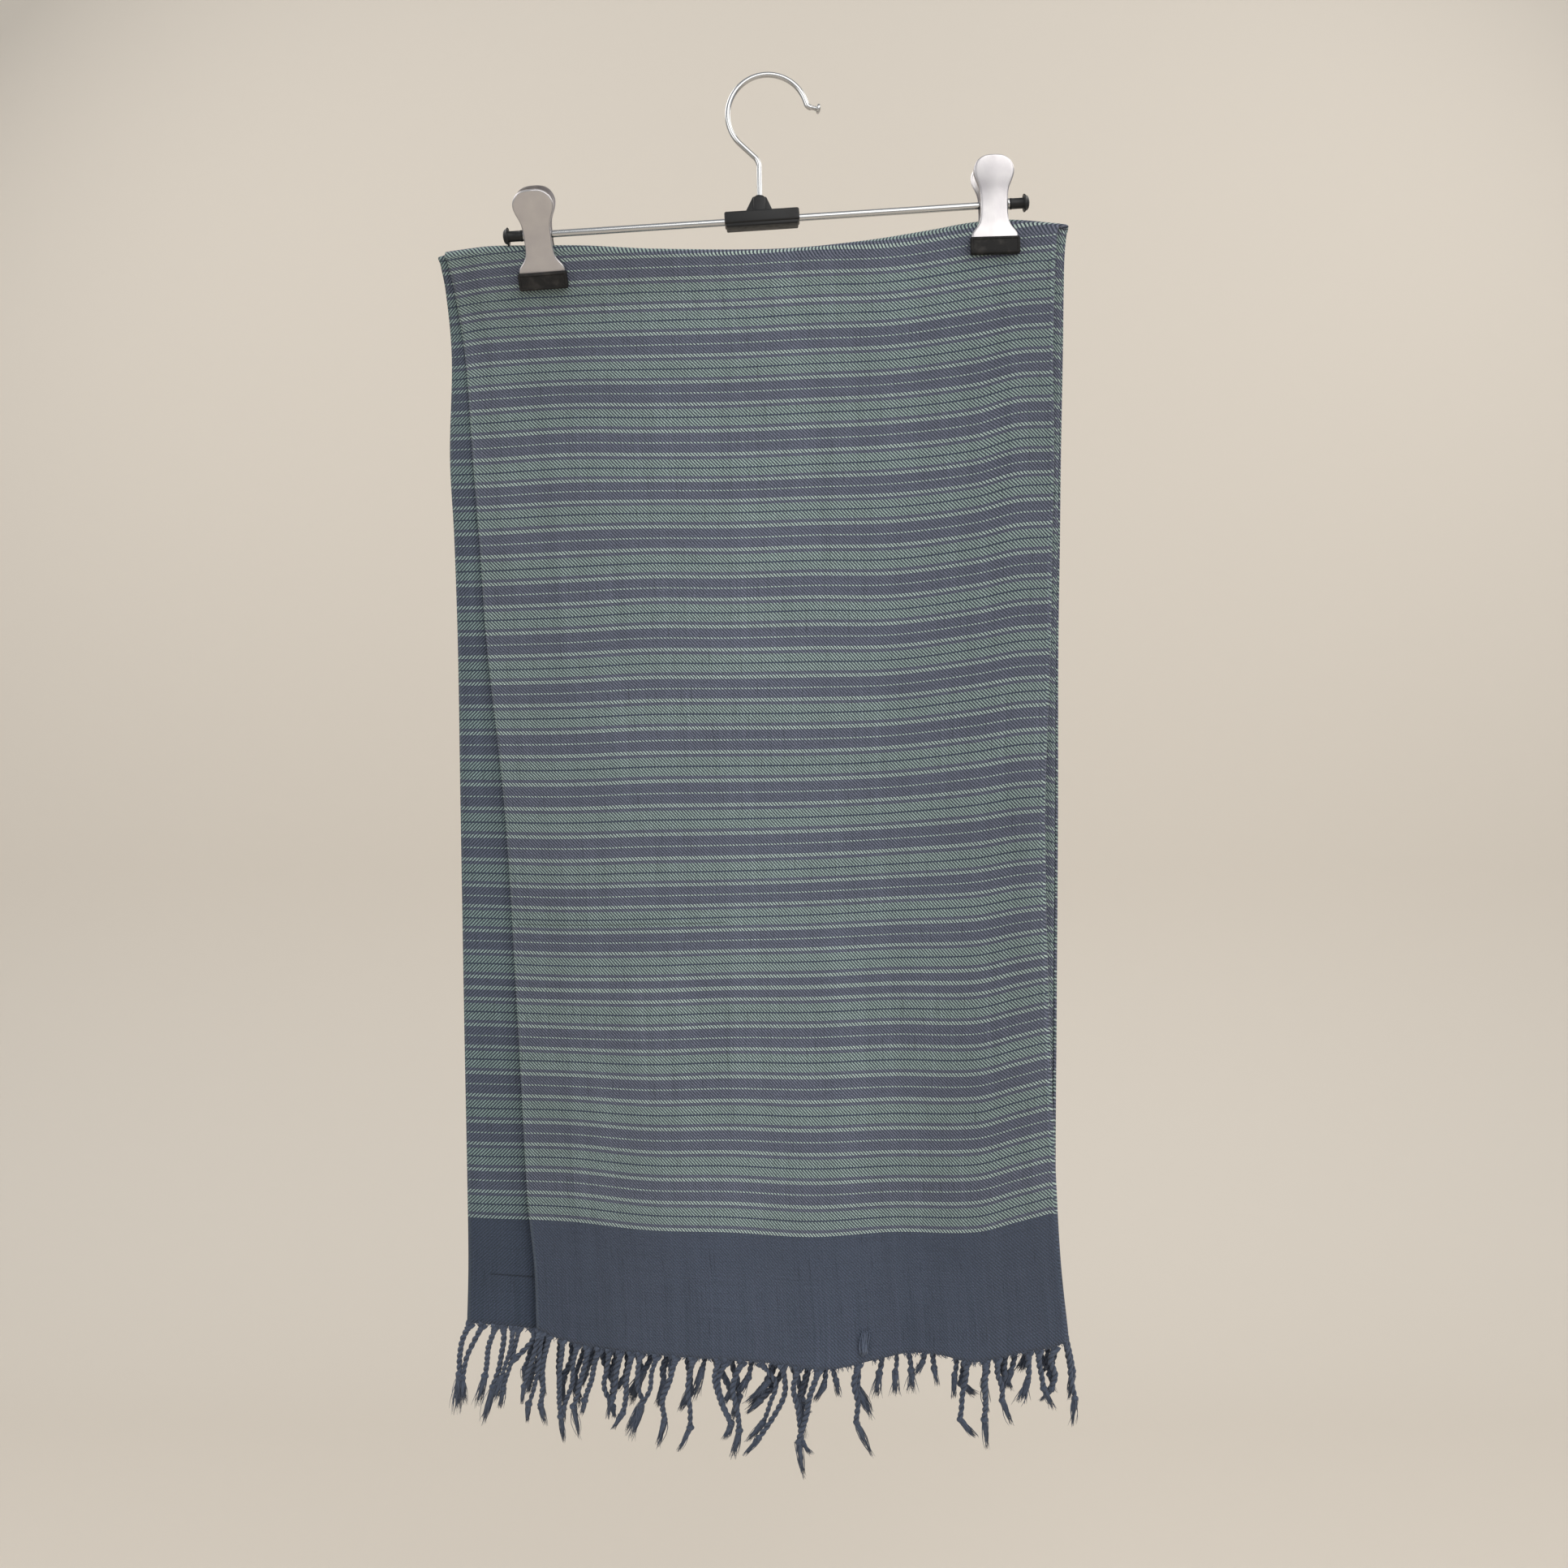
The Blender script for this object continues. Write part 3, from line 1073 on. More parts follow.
class Strands:
    """Collects the strands and fibres of one fringe as points, faces and attributes."""

    def __init__(self, seed):
        self.random = np.random.default_rng(seed)
        self.points, self.faces, self.strand = [], [], []

    def tube(self, centres, radii_x, radii_y, spin, sides, depth):
        """Tube round a line of points. Its section may be flat and turned; `depth` is its shade."""
        count = len(centres)
        start = sum(len(p) for p in self.points)
        tangent = unit(np.gradient(centres, axis=0))
        side = unit(np.cross(np.array([0.0, 1.0, 0.0]), tangent))
        back = unit(np.cross(tangent, side))
        angle = 2 * pi * np.arange(sides) / sides
        ax = radii_x[:, None] * np.cos(angle)
        ay = radii_y[:, None] * np.sin(angle)
        turn = np.broadcast_to(spin, count)[:, None]
        wide = ax * np.cos(turn) - ay * np.sin(turn)
        deep = ax * np.sin(turn) + ay * np.cos(turn)
        ring = centres[:, None] + side[:, None] * wide[..., None] + back[:, None] * deep[..., None]
        self.points.append(ring.reshape(-1, 3))
        self.faces += rings_to_faces(count, sides, start)
        run = np.concatenate([[0], np.cumsum(np.linalg.norm(np.diff(centres, axis=0), axis=1))])
        value = np.empty((count, sides, 3))
        value[..., 0] = angle
        value[..., 1] = run[:, None] + self.random.uniform(0, 400)
        value[..., 2] = depth
        self.strand.append(value.reshape(-1, 3))

    def fibres(self, start, way, length, spread, count, thick=1.0, light=1.0):
        """Brush of loose fibres from a point, most of them straight on."""
        for _ in range(count):
            off = self.random.normal(0, 1, 3) * np.array([1.0, 0.6, 0.2]) * spread / 3
            own = length * self.random.uniform(0.62, 1.04)
            end = start + way * own + off * own / length
            curl = self.random.normal(0, 1, 3) * np.array([0.1, 0.07, 0.04]) * own
            t = np.linspace(0, 1, len(FIBRE_TAPER))[:, None]
            begin = start + self.random.normal(0, 0.75, 3) * np.array([1, 1, 0.5])
            line = begin + (end - begin) * t + curl * (t * (1 - t) * 2)
            radius = FIBRE_R * thick * self.random.uniform(0.8, 1.5) * FIBRE_TAPER
            self.tube(line, radius, radius, 0.0, 3, light * self.random.uniform(0.95, 1.45))

    def tassel(self, root, shifts, length, brush, lean, spread, flat_half):
        """One tassel from its root: gathered warp ends, two twisted plies, a knot and a brush."""
        length, brush, lean = length - KNOT_RISE * brush, brush * BRUSH_GAIN, lean * BRUSH_GAIN
        t = np.linspace(0, 1, max(24, int(length / PLY_STEP)))
        across = through(np.array([0, 1 / 3, 2 / 3, 1.0]), np.array([0.0, *shifts]), t)
        wobble = 0.4 * np.sin(t * length / 4.1 + self.random.uniform(0, 6)) * np.sin(pi * t)
        depth_way = self.random.uniform(-1.2, 1.2)
        centres = root + np.stack([
            across + wobble,
            depth_way * np.sin(pi * t) + 0.3 * np.sin(t * length / 5.3),
            -t * length,
        ], axis=1)
        down = t * length
        gather = smooth(down, 0.0, GATHER)
        size = self.random.uniform(0.9, 1.1) * lerp(1.0, 0.9, t)
        turn = 2 * pi * down / (PLY_TURN * self.random.uniform(0.88, 1.12)) * gather
        phase = self.random.uniform(0, pi)
        tangent = unit(np.gradient(centres, axis=0))
        side = unit(np.cross(np.array([0.0, 1.0, 0.0]), tangent))
        back = unit(np.cross(tangent, side))
        for ply in (0, pi):
            angle = lerp(ply, turn + phase + ply, gather)
            off = lerp(flat_half * 0.5, PLY_OFF * size, gather)
            line = centres + side * (off * np.cos(angle))[:, None]
            line = line + back * (off * np.sin(angle) * gather)[:, None]
            rx = lerp(flat_half * 0.55, PLY_R * size, gather)
            ry = lerp(0.4, PLY_R * size, gather)
            outward = np.cos(2 * pi * np.arange(PLY_SIDES) / PLY_SIDES - angle[:, None])
            groove = lerp(1.0, 0.45 + 0.55 * smooth(outward, -0.5, 0.9), gather[:, None])
            self.tube(line, rx, ry, 0.0, PLY_SIDES, groove)

        end = centres[-1]
        knot_run = np.linspace(-1, 1, 9)
        ball = np.sqrt(np.maximum(0.02, 1 - knot_run ** 2)) * KNOT_R
        ball = ball * self.random.uniform(0.85, 1.1)
        self.tube(end + tangent[-1] * (knot_run * KNOT_HALF)[:, None], ball, ball, 0.0, 10, 0.85)
        way = unit(np.array([lean, self.random.uniform(-1.2, 1.2), -brush]))
        run = np.linspace(0, 1, len(BRUSH_CORE))
        core = end + way * (brush * 0.85) * run[:, None]
        core = core + np.array([0.4, 0.3, 0.0]) * np.sin(run * 5 + phase)[:, None] * run[:, None]
        core_r = BRUSH_CORE * (0.72 + spread / 22)
        self.tube(core, core_r, core_r * 0.7, run * 2.0, 9, 0.9)
        self.fibres(end + way * 0.6, way, brush * 1.05, spread * 0.72, int(24 + 2.6 * spread))

    def fuzz(self, point, right, down):
        """A short loose end or a small loop beside a root."""
        own = self.random.uniform(0.9, 3.8)
        way = unit(down + right * self.random.normal(0, 0.9) + np.array([0, -0.5, 0]))
        t = np.linspace(0, 1, len(FUZZ_TAPER))[:, None]
        curl = right * self.random.normal(0, 1.3) + down * self.random.uniform(-0.5, 0.8)
        line = point - down * 0.5 + way * own * t + curl * (t * (1 - t))
        radius = self.random.uniform(0.14, 0.34) * FUZZ_TAPER
        self.tube(line, radius, radius, 0.0, 3, self.random.uniform(0.9, 1.4))


def hem_points(layer_name, xs):
    """Points of a layer's hem that are seen at xs."""
    layer = LAYERS[layer_name]
    drop = column(HEMS, "x", layer["hem"], xs)
    return layer_point(xs, drop - 0.3, layer["rank"] * pitch_at(drop) / 2)


def hem_reach(layer_name):
    """Where a layer's hem starts and ends, as seen."""
    layer = LAYERS[layer_name]
    left, _, fold = ends(layer, np.array([705.0]))
    return left[0], fold[0]


def build_fringe(layer_name, rows, seed, material, scale, jitter):
    """Fringe of one layer from a table of its tassels."""
    low, high = hem_reach(layer_name)
    strands = Strands(seed)
    shifts_x = strands.random.uniform(-jitter, jitter, len(rows["root"]))
    xs = np.clip(rows["root"] + shifts_x, low + 2.0, high + 1.5)
    roots = hem_points(layer_name, xs)
    for i, (root, x, shift) in enumerate(zip(roots, xs, shifts_x)):
        own = scale * (1 - strands.random.uniform(0, 0.14) * (jitter > 0))
        shifts = [rows[key][i] + shift * 0.3 for key in ("third", "two_thirds", "knot")]
        flat_half = min(ROOT_HALF, x - low + 0.5, high - x + 2.5)
        strands.tassel(root, shifts, rows["length"][i] * own, rows["brush"][i] * own,
                       rows["lean"][i], rows["spread"][i], flat_half)
    for point in hem_points(layer_name, strands.random.uniform(low + 0.5, high, HEM_FUZZ)):
        strands.fuzz(point, np.array([1.0, 0, 0]), np.array([0, 0, -1.0]))
    for x, above, length in TURNED_UP.get(layer_name, []):
        start = hem_points(layer_name, np.array([x]))[0] + np.array([0, -1.9, above])
        strands.fibres(start, np.array([0.06, -0.03, 1.0]), length, 4.0, 60, 1.3, 1.9)
    points = np.concatenate(strands.points)
    made = mesh_object(layer_name + "_tassels", points, strands.faces, material)
    add_attribute(made, "strand", "FLOAT_VECTOR", np.concatenate(strands.strand))
    return made


# ---- hanger pieces -------------------------------------------------------------------------------

def shift(x, y, z):
    return Matrix.Translation(Vector((x, y, z)) * MM)


def bar_matrix():
    """From the bar's own frame, with x along it, to its place."""
    tilt = Matrix.Rotation(-radians(BAR_TILT), 4, "Y")
    return shift(BAR_MIDDLE["x"], 0, -BAR_MIDDLE["drop"]) @ tilt


def clip_matrix(side):
    """From a clip's own frame, on the bar's middle line, to its place."""
    clip = CLIPS[side]
    tilt = Matrix.Rotation(-radians(clip["tilt"]), 4, "Y")
    lean = Matrix.Rotation(radians(clip["lean"]), 4, "X")
    return shift(clip["x"], 0, -bar_drop(clip["x"])) @ tilt @ lean


class Wire:
    """A ring of edges that is carried along in edit mode, as a wire is drawn and bent."""

    def __init__(self, radius, sides, x, z):
        deselect()
        bpy.ops.mesh.primitive_circle_add(
            vertices=sides, radius=radius * MM, fill_type="NOTHING", location=(x * MM, 0, z * MM)
        )
        self.made = bpy.context.object
        bpy.ops.object.transform_apply(location=True, rotation=False, scale=False)
        bpy.ops.object.mode_set(mode="EDIT")
        bpy.ops.mesh.select_mode(type="EDGE")
        bpy.ops.mesh.select_all(action="SELECT")
        self.x, self.z, self.radius = x, z, radius

    def run(self, dx, dz, radius=None):
        """Straight on, and to another radius if one is given."""
        extrude(dx, 0, dz)
        self.x, self.z = self.x + dx, self.z + dz
        if radius:
            ratio = radius / self.radius
            self.radius = radius
            resize((ratio, ratio, ratio), self.x, 0, self.z)

    def run_to(self, x, z):
        self.run(x - self.x, z - self.z)

    def bend_round(self, centre_x, centre_z, degrees, steps):
        """Round a centre, anticlockwise as seen from the front."""
        bpy.ops.mesh.spin(
            steps=steps, angle=radians(degrees), center=(centre_x * MM, 0, centre_z * MM),
            axis=(0, 1, 0), dupli=False,
        )
        across, up = self.x - centre_x, self.z - centre_z
        turn = radians(degrees)
        self.x = centre_x + across * cos(turn) - up * sin(turn)
        self.z = centre_z + across * sin(turn) + up * cos(turn)

    def done(self):
        bpy.ops.object.mode_set(mode="OBJECT")
        recalculate(self.made)
        return self.made


def turned_piece(stations, sides=32, axis="X", ring=False):
    """Round solid, or ring, from a circle that is extruded and resized: stations are
    (along, radius)."""
    along, radius = stations[0]
    deselect()
    bpy.ops.mesh.primitive_circle_add(
        vertices=sides, radius=radius * MM, fill_type="NOTHING", location=(0, 0, 0),
    )
    made = bpy.context.object
    bpy.ops.object.mode_set(mode="EDIT")
    bpy.ops.mesh.select_mode(type="EDGE")
    bpy.ops.mesh.select_all(action="SELECT")
    bpy.ops.transform.translate(value=(0, 0, along * MM))
    for next_along, next_radius in [*stations[1:], *(stations[:1] if ring else [])]:
        extrude(0, 0, next_along - along)
        ratio = next_radius / radius
        resize((ratio, ratio, 1), 0, 0, next_along)
        along, radius = next_along, next_radius
    bpy.ops.object.mode_set(mode="OBJECT")
    recalculate(made)
    if axis == "X":
        place_piece(made, Matrix.Rotation(pi / 2, 4, "Y"))
    return made


def rounded_block(width, depth, height, bevel, segments=3):
    """Box with bevelled edges, in its own frame."""
    deselect()
    bpy.ops.mesh.primitive_cube_add(size=1)
    made = bpy.context.object
    made.scale = (width * MM, depth * MM, height * MM)
    bpy.ops.object.transform_apply(location=False, rotation=False, scale=True)
    if bevel:
        edit(made, "EDGE")
        bevel_all(bevel, segments)
        bpy.ops.object.mode_set(mode="OBJECT")
    return made


def combine(operation, first, *others):
    """Joins solids to the first one (UNION) or cuts them out of it (DIFFERENCE)."""
    for other in others:
        apply_modifier(first, "BOOLEAN", object=other, operation=operation, solver="EXACT")
        bpy.data.objects.remove(other)


def copy_piece(pattern, name, matrix, node):
    """A copy of a modelled piece, with its own mesh, at its place."""
    made = pattern.copy()
    made.data = pattern.data.copy()
    made.name = made.data.name = name
    bpy.context.scene.collection.objects.link(made)
    hand_over(place_piece(made, matrix), [node])


def tapered_fin():
    """The gusset, wide at its foot, with rounded edges."""
    height = GUSSET["height"] + 0.9
    fin = rounded_block(GUSSET["base"], GUSSET["thick"], height, 0.0)
    place_piece(fin, shift(0, 0, height / 2 - 1.5))
    edit(fin)
    select_where(fin, lambda place, normal: place.z > height / 2)
    resize((GUSSET["top"] / GUSSET["base"], 1, 1))
    bevel_all(0.7, 3)
    bpy.ops.object.mode_set(mode="OBJECT")
    return fin


def half_at(up):
    """Half the width of a plate at a height above the bar."""
    rows = np.array(PLATE_ROWS[::-1])
    return float(np.interp(up, rows[:, 0], rows[:, 1]))


def clip_plate(thickness):
    """Front plate of a clip: a sheet drawn down row by row, with its edges turned in."""
    deselect()
    bpy.ops.mesh.primitive_grid_add(
        x_subdivisions=5, y_subdivisions=1, size=2 * MM, rotation=(pi / 2, 0, 0)
    )
    plate = bpy.context.object
    bpy.ops.object.transform_apply(location=False, rotation=True, scale=False)
    edit(plate)
    select_where(plate, lambda place, normal: 0.5 < abs(place.x) < 0.7)
    resize((PLATE_COLUMN / 0.6, 1, 1))
    for (up, half, off), end in ((PLATE_ROWS[0], 1), (PLATE_ROWS[1], -1)):
        # the top and the bottom of the grid, 1 and -1 mm up and not yet moved, become two rows
        select_where(plate, lambda place, normal: abs(place.y) < 0.1 and 0.5 < place.z * end < 2)
        resize((half, 1, 1))
        bpy.ops.transform.translate(value=(0, -off * MM, (up - end) * MM))
    z, wide, y = PLATE_ROWS[1][0], PLATE_ROWS[1][1], -PLATE_ROWS[1][2]
    select_where(plate, lambda place, normal: abs(place.z - z) < 0.05, "EDGE")
    for up, half, off in PLATE_ROWS[2:]:
        extrude(0, -off - y, up - z)
        resize((half / wide, 1, 1), 0, -off, up)
        y, z, wide = -off, up, half
    select_where(plate, lambda place, normal: abs(place.x) < 0.3 * half_at(place.z))
    bpy.ops.transform.translate(value=(0, -PLATE_CROWN * MM, 0))
    foot = PLATE_ROWS[-1][0]
    select_rim(plate, lambda one, other: max(abs(one.z - foot), abs(other.z - foot)) >= 0.05)
    extrude(0, PLATE_LIP, 0)
    bpy.ops.object.mode_set(mode="OBJECT")
    apply_modifier(plate, "SUBSURF", levels=2, render_levels=2)
    edit(plate)
    bpy.ops.mesh.select_all(action="SELECT")
    bpy.ops.mesh.normals_make_consistent(inside=False)
    bpy.ops.object.mode_set(mode="OBJECT")
    apply_modifier(plate, "SOLIDIFY", thickness=thickness * MM, offset=0.0, use_even_offset=True)
    return plate


def clip_rear_plate(plate):
    """Rear plate, in the front one's place: the same sheet with two ears that ride on the bar."""
    rear = plate.copy()
    rear.data = plate.data.copy()
    bpy.context.scene.collection.objects.link(rear)
    _, half, off = PLATE_ROWS[9]
    depth = off - 0.4 + EAR["reach"]
    ears = []
    for end in (-1, 1):
        ear = rounded_block(EAR["width"], depth, EAR["height"], 0.35, 2)
        centre = shift(end * (half - EAR["inset"]), -off + depth / 2, 0)
        ears.append(place_piece(ear, centre))
    combine("UNION", rear, *ears)
    bore = turned_piece([(-9.5, BAR_D / 2 + 0.5), (9.5, BAR_D / 2 + 0.5)], 24)
    combine("DIFFERENCE", rear, bore)
    recalculate(rear)
    return rear


def clip_pad():
    """Front pad of a clip: a rounded block with a sunk panel in its face."""
    height = PAD["top"] - PAD["bottom"]
    pad = rounded_block(2 * PAD["half"], PAD["thick"], height, 0.0)
    edit(pad, "EDGE")
    bevel_all(1.0, 4)
    select_where(pad, lambda place, normal: normal.y < -0.99, "FACE")
    bpy.ops.mesh.inset(thickness=0.35 * MM, depth=0.0)
    bpy.ops.mesh.inset(thickness=0.25 * MM, depth=-0.4 * MM)
    bpy.ops.object.mode_set(mode="OBJECT")
    middle = shift(0, -PAD["face"] - PAD["thick"] / 2, (PAD["top"] + PAD["bottom"]) / 2)
    return place_piece(pad, middle)


def clip_spring():
    """Coil round the bar, with a leg that bears on each plate."""
    deselect()
    bpy.ops.mesh.primitive_circle_add(
        vertices=10, radius=SPRING["wire_r"] * MM, fill_type="NOTHING",
        location=(-SPRING["length"] / 2 * MM, SPRING["middle_r"] * MM, 0),
    )
    spring = bpy.context.object
    bpy.ops.object.transform_apply(location=True, rotation=False, scale=False)
    steps = int(16 * SPRING["turns"])
    apply_modifier(spring, "SCREW", axis="X", angle=2 * pi * SPRING["turns"],
                   screw_offset=SPRING["length"] * MM, steps=steps, render_steps=steps,
                   use_smooth_shade=True)
    for end in (-1, 1):
        edit(spring, "EDGE")
        select_rim(spring, lambda one, other: (one.x + other.x) * end > 0)
        extrude(0, -end * 2.2, SPRING["leg"])
        bpy.ops.object.mode_set(mode="OBJECT")
    recalculate(spring)
    return spring


# ---- settings ------------------------------------------------------------------------------------

def colour_property(name, description, seen):
    return FloatVectorProperty(
        name=name, description=description, subtype="COLOR", size=3, min=0.0, max=1.0,
        default=linear(seen),
    )


class STOLE_PG_sizes(bpy.types.PropertyGroup):
    """Sizes that a user would change."""

    cloth_thickness: FloatProperty(
        name="Cloth", description="Thickness of the woven cloth", default=0.7 * MM, unit="LENGTH",
        min=0.3 * MM, max=1.0 * MM,
    )
    wire_diameter: FloatProperty(
        name="Wire", description="Diameter of the hook's wire", default=WIRE_D * MM, unit="LENGTH",
    )
    bar_diameter: FloatProperty(
        name="Bar", description="Diameter of the bar", default=BAR_D * MM, unit="LENGTH",
    )
    plate_thickness: FloatProperty(
        name="Plates", description="Thickness of the clips' sheet steel", default=0.8 * MM,
        unit="LENGTH",
    )
    key_light: FloatProperty(
        name="Light", description="Power that each light is a multiple of", default=26.0,
        unit="POWER",
    )
    wire_sides: IntProperty(
        name="Wire Sides", description="Faces round the wire and the bar", default=28, min=8,
    )


class STOLE_PG_colours(bpy.types.PropertyGroup):
    """Colours of the yarns, the hanger and the stage."""

    slate_warp: colour_property("Warp", "Slate warp ends", (72, 83, 97))
    purple_warp: colour_property("Second Warp", "Purplish warp ends between them", (79, 84, 101))
    slate_weft: colour_property("Slate Weft", "Weft of the slate bands", (108, 112, 128))
    green_weft: colour_property("Green Weft", "Weft of the green bands", (150, 169, 163))
    light_weft: colour_property("Light Weft", "Weft of the thin light stripes", (173, 190, 184))
    border_weft: colour_property("Border Weft", "Weft of the plain borders", (73, 82, 100))
    yarn_dark: colour_property("Tassel Dark", "Dark fibres of the tassels", (52, 60, 76))
    yarn_light: colour_property("Tassel Light", "Light fibres of the tassels", (92, 101, 118))
    chrome: colour_property("Chrome", "Chromed wire", (190, 190, 190))
    steel: colour_property("Steel", "Sheet steel", (204, 201, 200))
    steel_dull: colour_property("Dull Steel", "Duller patches of the steel", (176, 172, 176))
    plastic: colour_property("Plastic", "Black plastic", (20, 20, 21))
    plastic_rubbed: colour_property("Rubbed Plastic", "Where it is rubbed", (37, 36, 35))
    rubber: colour_property("Pads", "Pads of the clips", (24, 23, 23))
    rubber_dusty: colour_property("Dusty Pads", "Dust on the pads", (62, 59, 56))
    backdrop: colour_property("Backdrop", "Floor and wall", (212, 204, 193))


# ---- operators -----------------------------------------------------------------------------------


class STOLE_OT_cloth(bpy.types.Operator):
    """Weaves the four layers of the folded stole"""

    bl_idname = "stole.cloth"
    bl_label = "Cloth Layers"

    def execute(self, context):
        material = striped_cloth(context.scene.stole_colours)
        thickness = context.scene.stole_sizes.cloth_thickness / MM
        for name, layer in LAYERS.items():
            skins = [layer_skin(layer, thickness, side) for side in (1, -1)]
            points, faces = closed_wall(skins[0][0], skins[1][0])
            made = mesh_object(name + "_cloth", points, faces, material)
            across = np.concatenate([skin[1].ravel() for skin in skins])
            line = np.concatenate([skin[2].ravel() for skin in skins])
            face = np.repeat([layer["outside"], -layer["outside"]], len(line) // 2)
            add_attribute(made, "weave", "FLOAT_VECTOR", np.stack([across, line, face], axis=1))
            add_attribute(made, "stripe", "FLOAT", stripe_at(line))
            hand_over(made, [name])
        return {"FINISHED"}


class STOLE_OT_fringes(bpy.types.Operator):
    """Twists the tassels along the four hems"""

    bl_idname = "stole.fringes"
    bl_label = "Fringes"

    def execute(self, context):
        material = yarn(context.scene.stole_colours)
        fringes = [
            ("front_panel", FRONT_TASSELS, 11, 1.0, 0.0),
            ("front_under_layer", UNDER_TASSELS, 12, 1.0, 0.0),
            ("back_under_layer", FRONT_TASSELS, 13, 0.86, 0.6),
            ("back_panel", FRONT_TASSELS, 14, 0.9, 0.6),
        ]
        for layer_name, rows, seed, scale, jitter in fringes:
            made = build_fringe(layer_name, rows, seed, material, scale, jitter)
            hand_over(made, [layer_name + "_fringe"])
        return {"FINISHED"}


class STOLE_OT_hook(bpy.types.Operator):
    """Bends the hook's wire and forms its tip"""

    bl_idname = "stole.hook"
    bl_label = "Hook"

    def execute(self, context):
        sizes = context.scene.stole_sizes
        radius = sizes.wire_diameter / MM / 2
        wire = Wire(radius, sizes.wire_sides, STEM["x"], -SHANK_END)
        wire.run(-0.5, SHANK_LENGTH)
        wire.bend_round(wire.x - BEND_R, wire.z, BEND_TURN, 9)
        loop_z = radius - LOOP_R
        start = radians(LOOP_START)
        wire.run_to(LOOP_R * cos(start), loop_z + LOOP_R * sin(start))
        wire.bend_round(0.0, loop_z, LOOP_TURN, 56)
        out = radians(LOOP_START + LOOP_TURN)
        tip_x, tip_z = wire.x + TIP_BEND_R * cos(out), wire.z + TIP_BEND_R * sin(out)
        wire.bend_round(tip_x, tip_z, TIP_TURN, 8)
        for along, size in HOOK_TIP:
            wire.run(0.985 * along, -0.17 * along, size)
        made = wire.done()
        finish_piece(made, "hook_wire", chrome(context.scene.stole_colours))
        hand_over(made, ["hook"])
        return {"FINISHED"}


class STOLE_OT_bar(bpy.types.Operator):
    """Turns the bar, its two collars and its two end caps"""

    bl_idname = "stole.bar"
    bl_label = "Bar and Caps"

    def execute(self, context):
        sizes, colours = context.scene.stole_sizes, context.scene.stole_colours
        wire, plastic = bpy.data.materials["chromed_steel"], black_plastic(colours)
        radius = sizes.bar_diameter / MM / 2
        end = BAR_LENGTH / 2
        small = radius - BAR_CHAMFER
        bar = turned_piece([
            (-end, small), (-end + BAR_CHAMFER, radius), (end - BAR_CHAMFER, radius), (end, small),
        ], sizes.wire_sides)
        place_piece(bar, bar_matrix())
        finish_piece(bar, "bar_rod", wire)
        hand_over(bar, ["bar"])
        cap_start = end - CAP_LENGTH
        collar_start = cap_start - COLLAR_LENGTH
        for profile, start, name, material, slot in (
            (CAP_PROFILE, cap_start, "cap", plastic, "black_plastic"),
            (COLLAR_PROFILE, collar_start, "collar", wire, "wire"),
        ):
            piece = turned_piece(profile, sizes.wire_sides, ring=name == "collar")
            place_piece(piece, shift(start, 0, 0))
            finish_piece(piece, name + "_pattern", material)
            for side, turn in (("left", pi), ("right", 0.0)):
                matrix = bar_matrix() @ Matrix.Rotation(turn, 4, "Z")
                copy_piece(piece, f"{side}_{name}", matrix, f"{name}_{side}")
            bpy.data.objects.remove(piece)
        return {"FINISHED"}


class STOLE_OT_block(bpy.types.Operator):
    """Moulds the block that joins the hook to the bar"""

    bl_idname = "stole.block"
    bl_label = "Centre Block"

    def execute(self, context):
        width, depth, height = BLOCK["width"], BLOCK["depth"], BLOCK["height"]
        block_x = BLOCK["x"] - BAR_MIDDLE["x"]
        body = rounded_block(width, depth, height - FOOT["shows"], 1.1, 4)
        place_piece(body, shift(block_x, 0, FOOT["shows"] / 2))
        foot = rounded_block(width - FOOT["narrower"], depth - FOOT["thinner"], FOOT["height"], 0.7)
        place_piece(foot, shift(block_x, 0, (FOOT["height"] - height) / 2))
        upright = shift(STEM["x"] - BAR_MIDDLE["x"], 0, height / 2)
        upright = upright @ Matrix.Rotation(radians(BAR_TILT), 4, "Y")
        fin = tapered_fin()
        place_piece(fin, upright)
        stem = rounded_block(STEM["width"], STEM["depth"], GUSSET["height"] + 0.8, 1.0, 4)
        place_piece(stem, upright @ shift(0, 0, GUSSET["height"] / 2 - SUNK))
        neck = turned_piece(NECK_PROFILE, 28, axis="Z")
        place_piece(neck, upright @ shift(0, 0, GUSSET["height"] - SUNK))
        combine("UNION", body, foot, fin, stem, neck)
        place_piece(body, bar_matrix())
        recalculate(body)
        finish_piece(body, "block", bpy.data.materials["moulded_plastic"])
        hand_over(body, ["centre_block"])
        return {"FINISHED"}


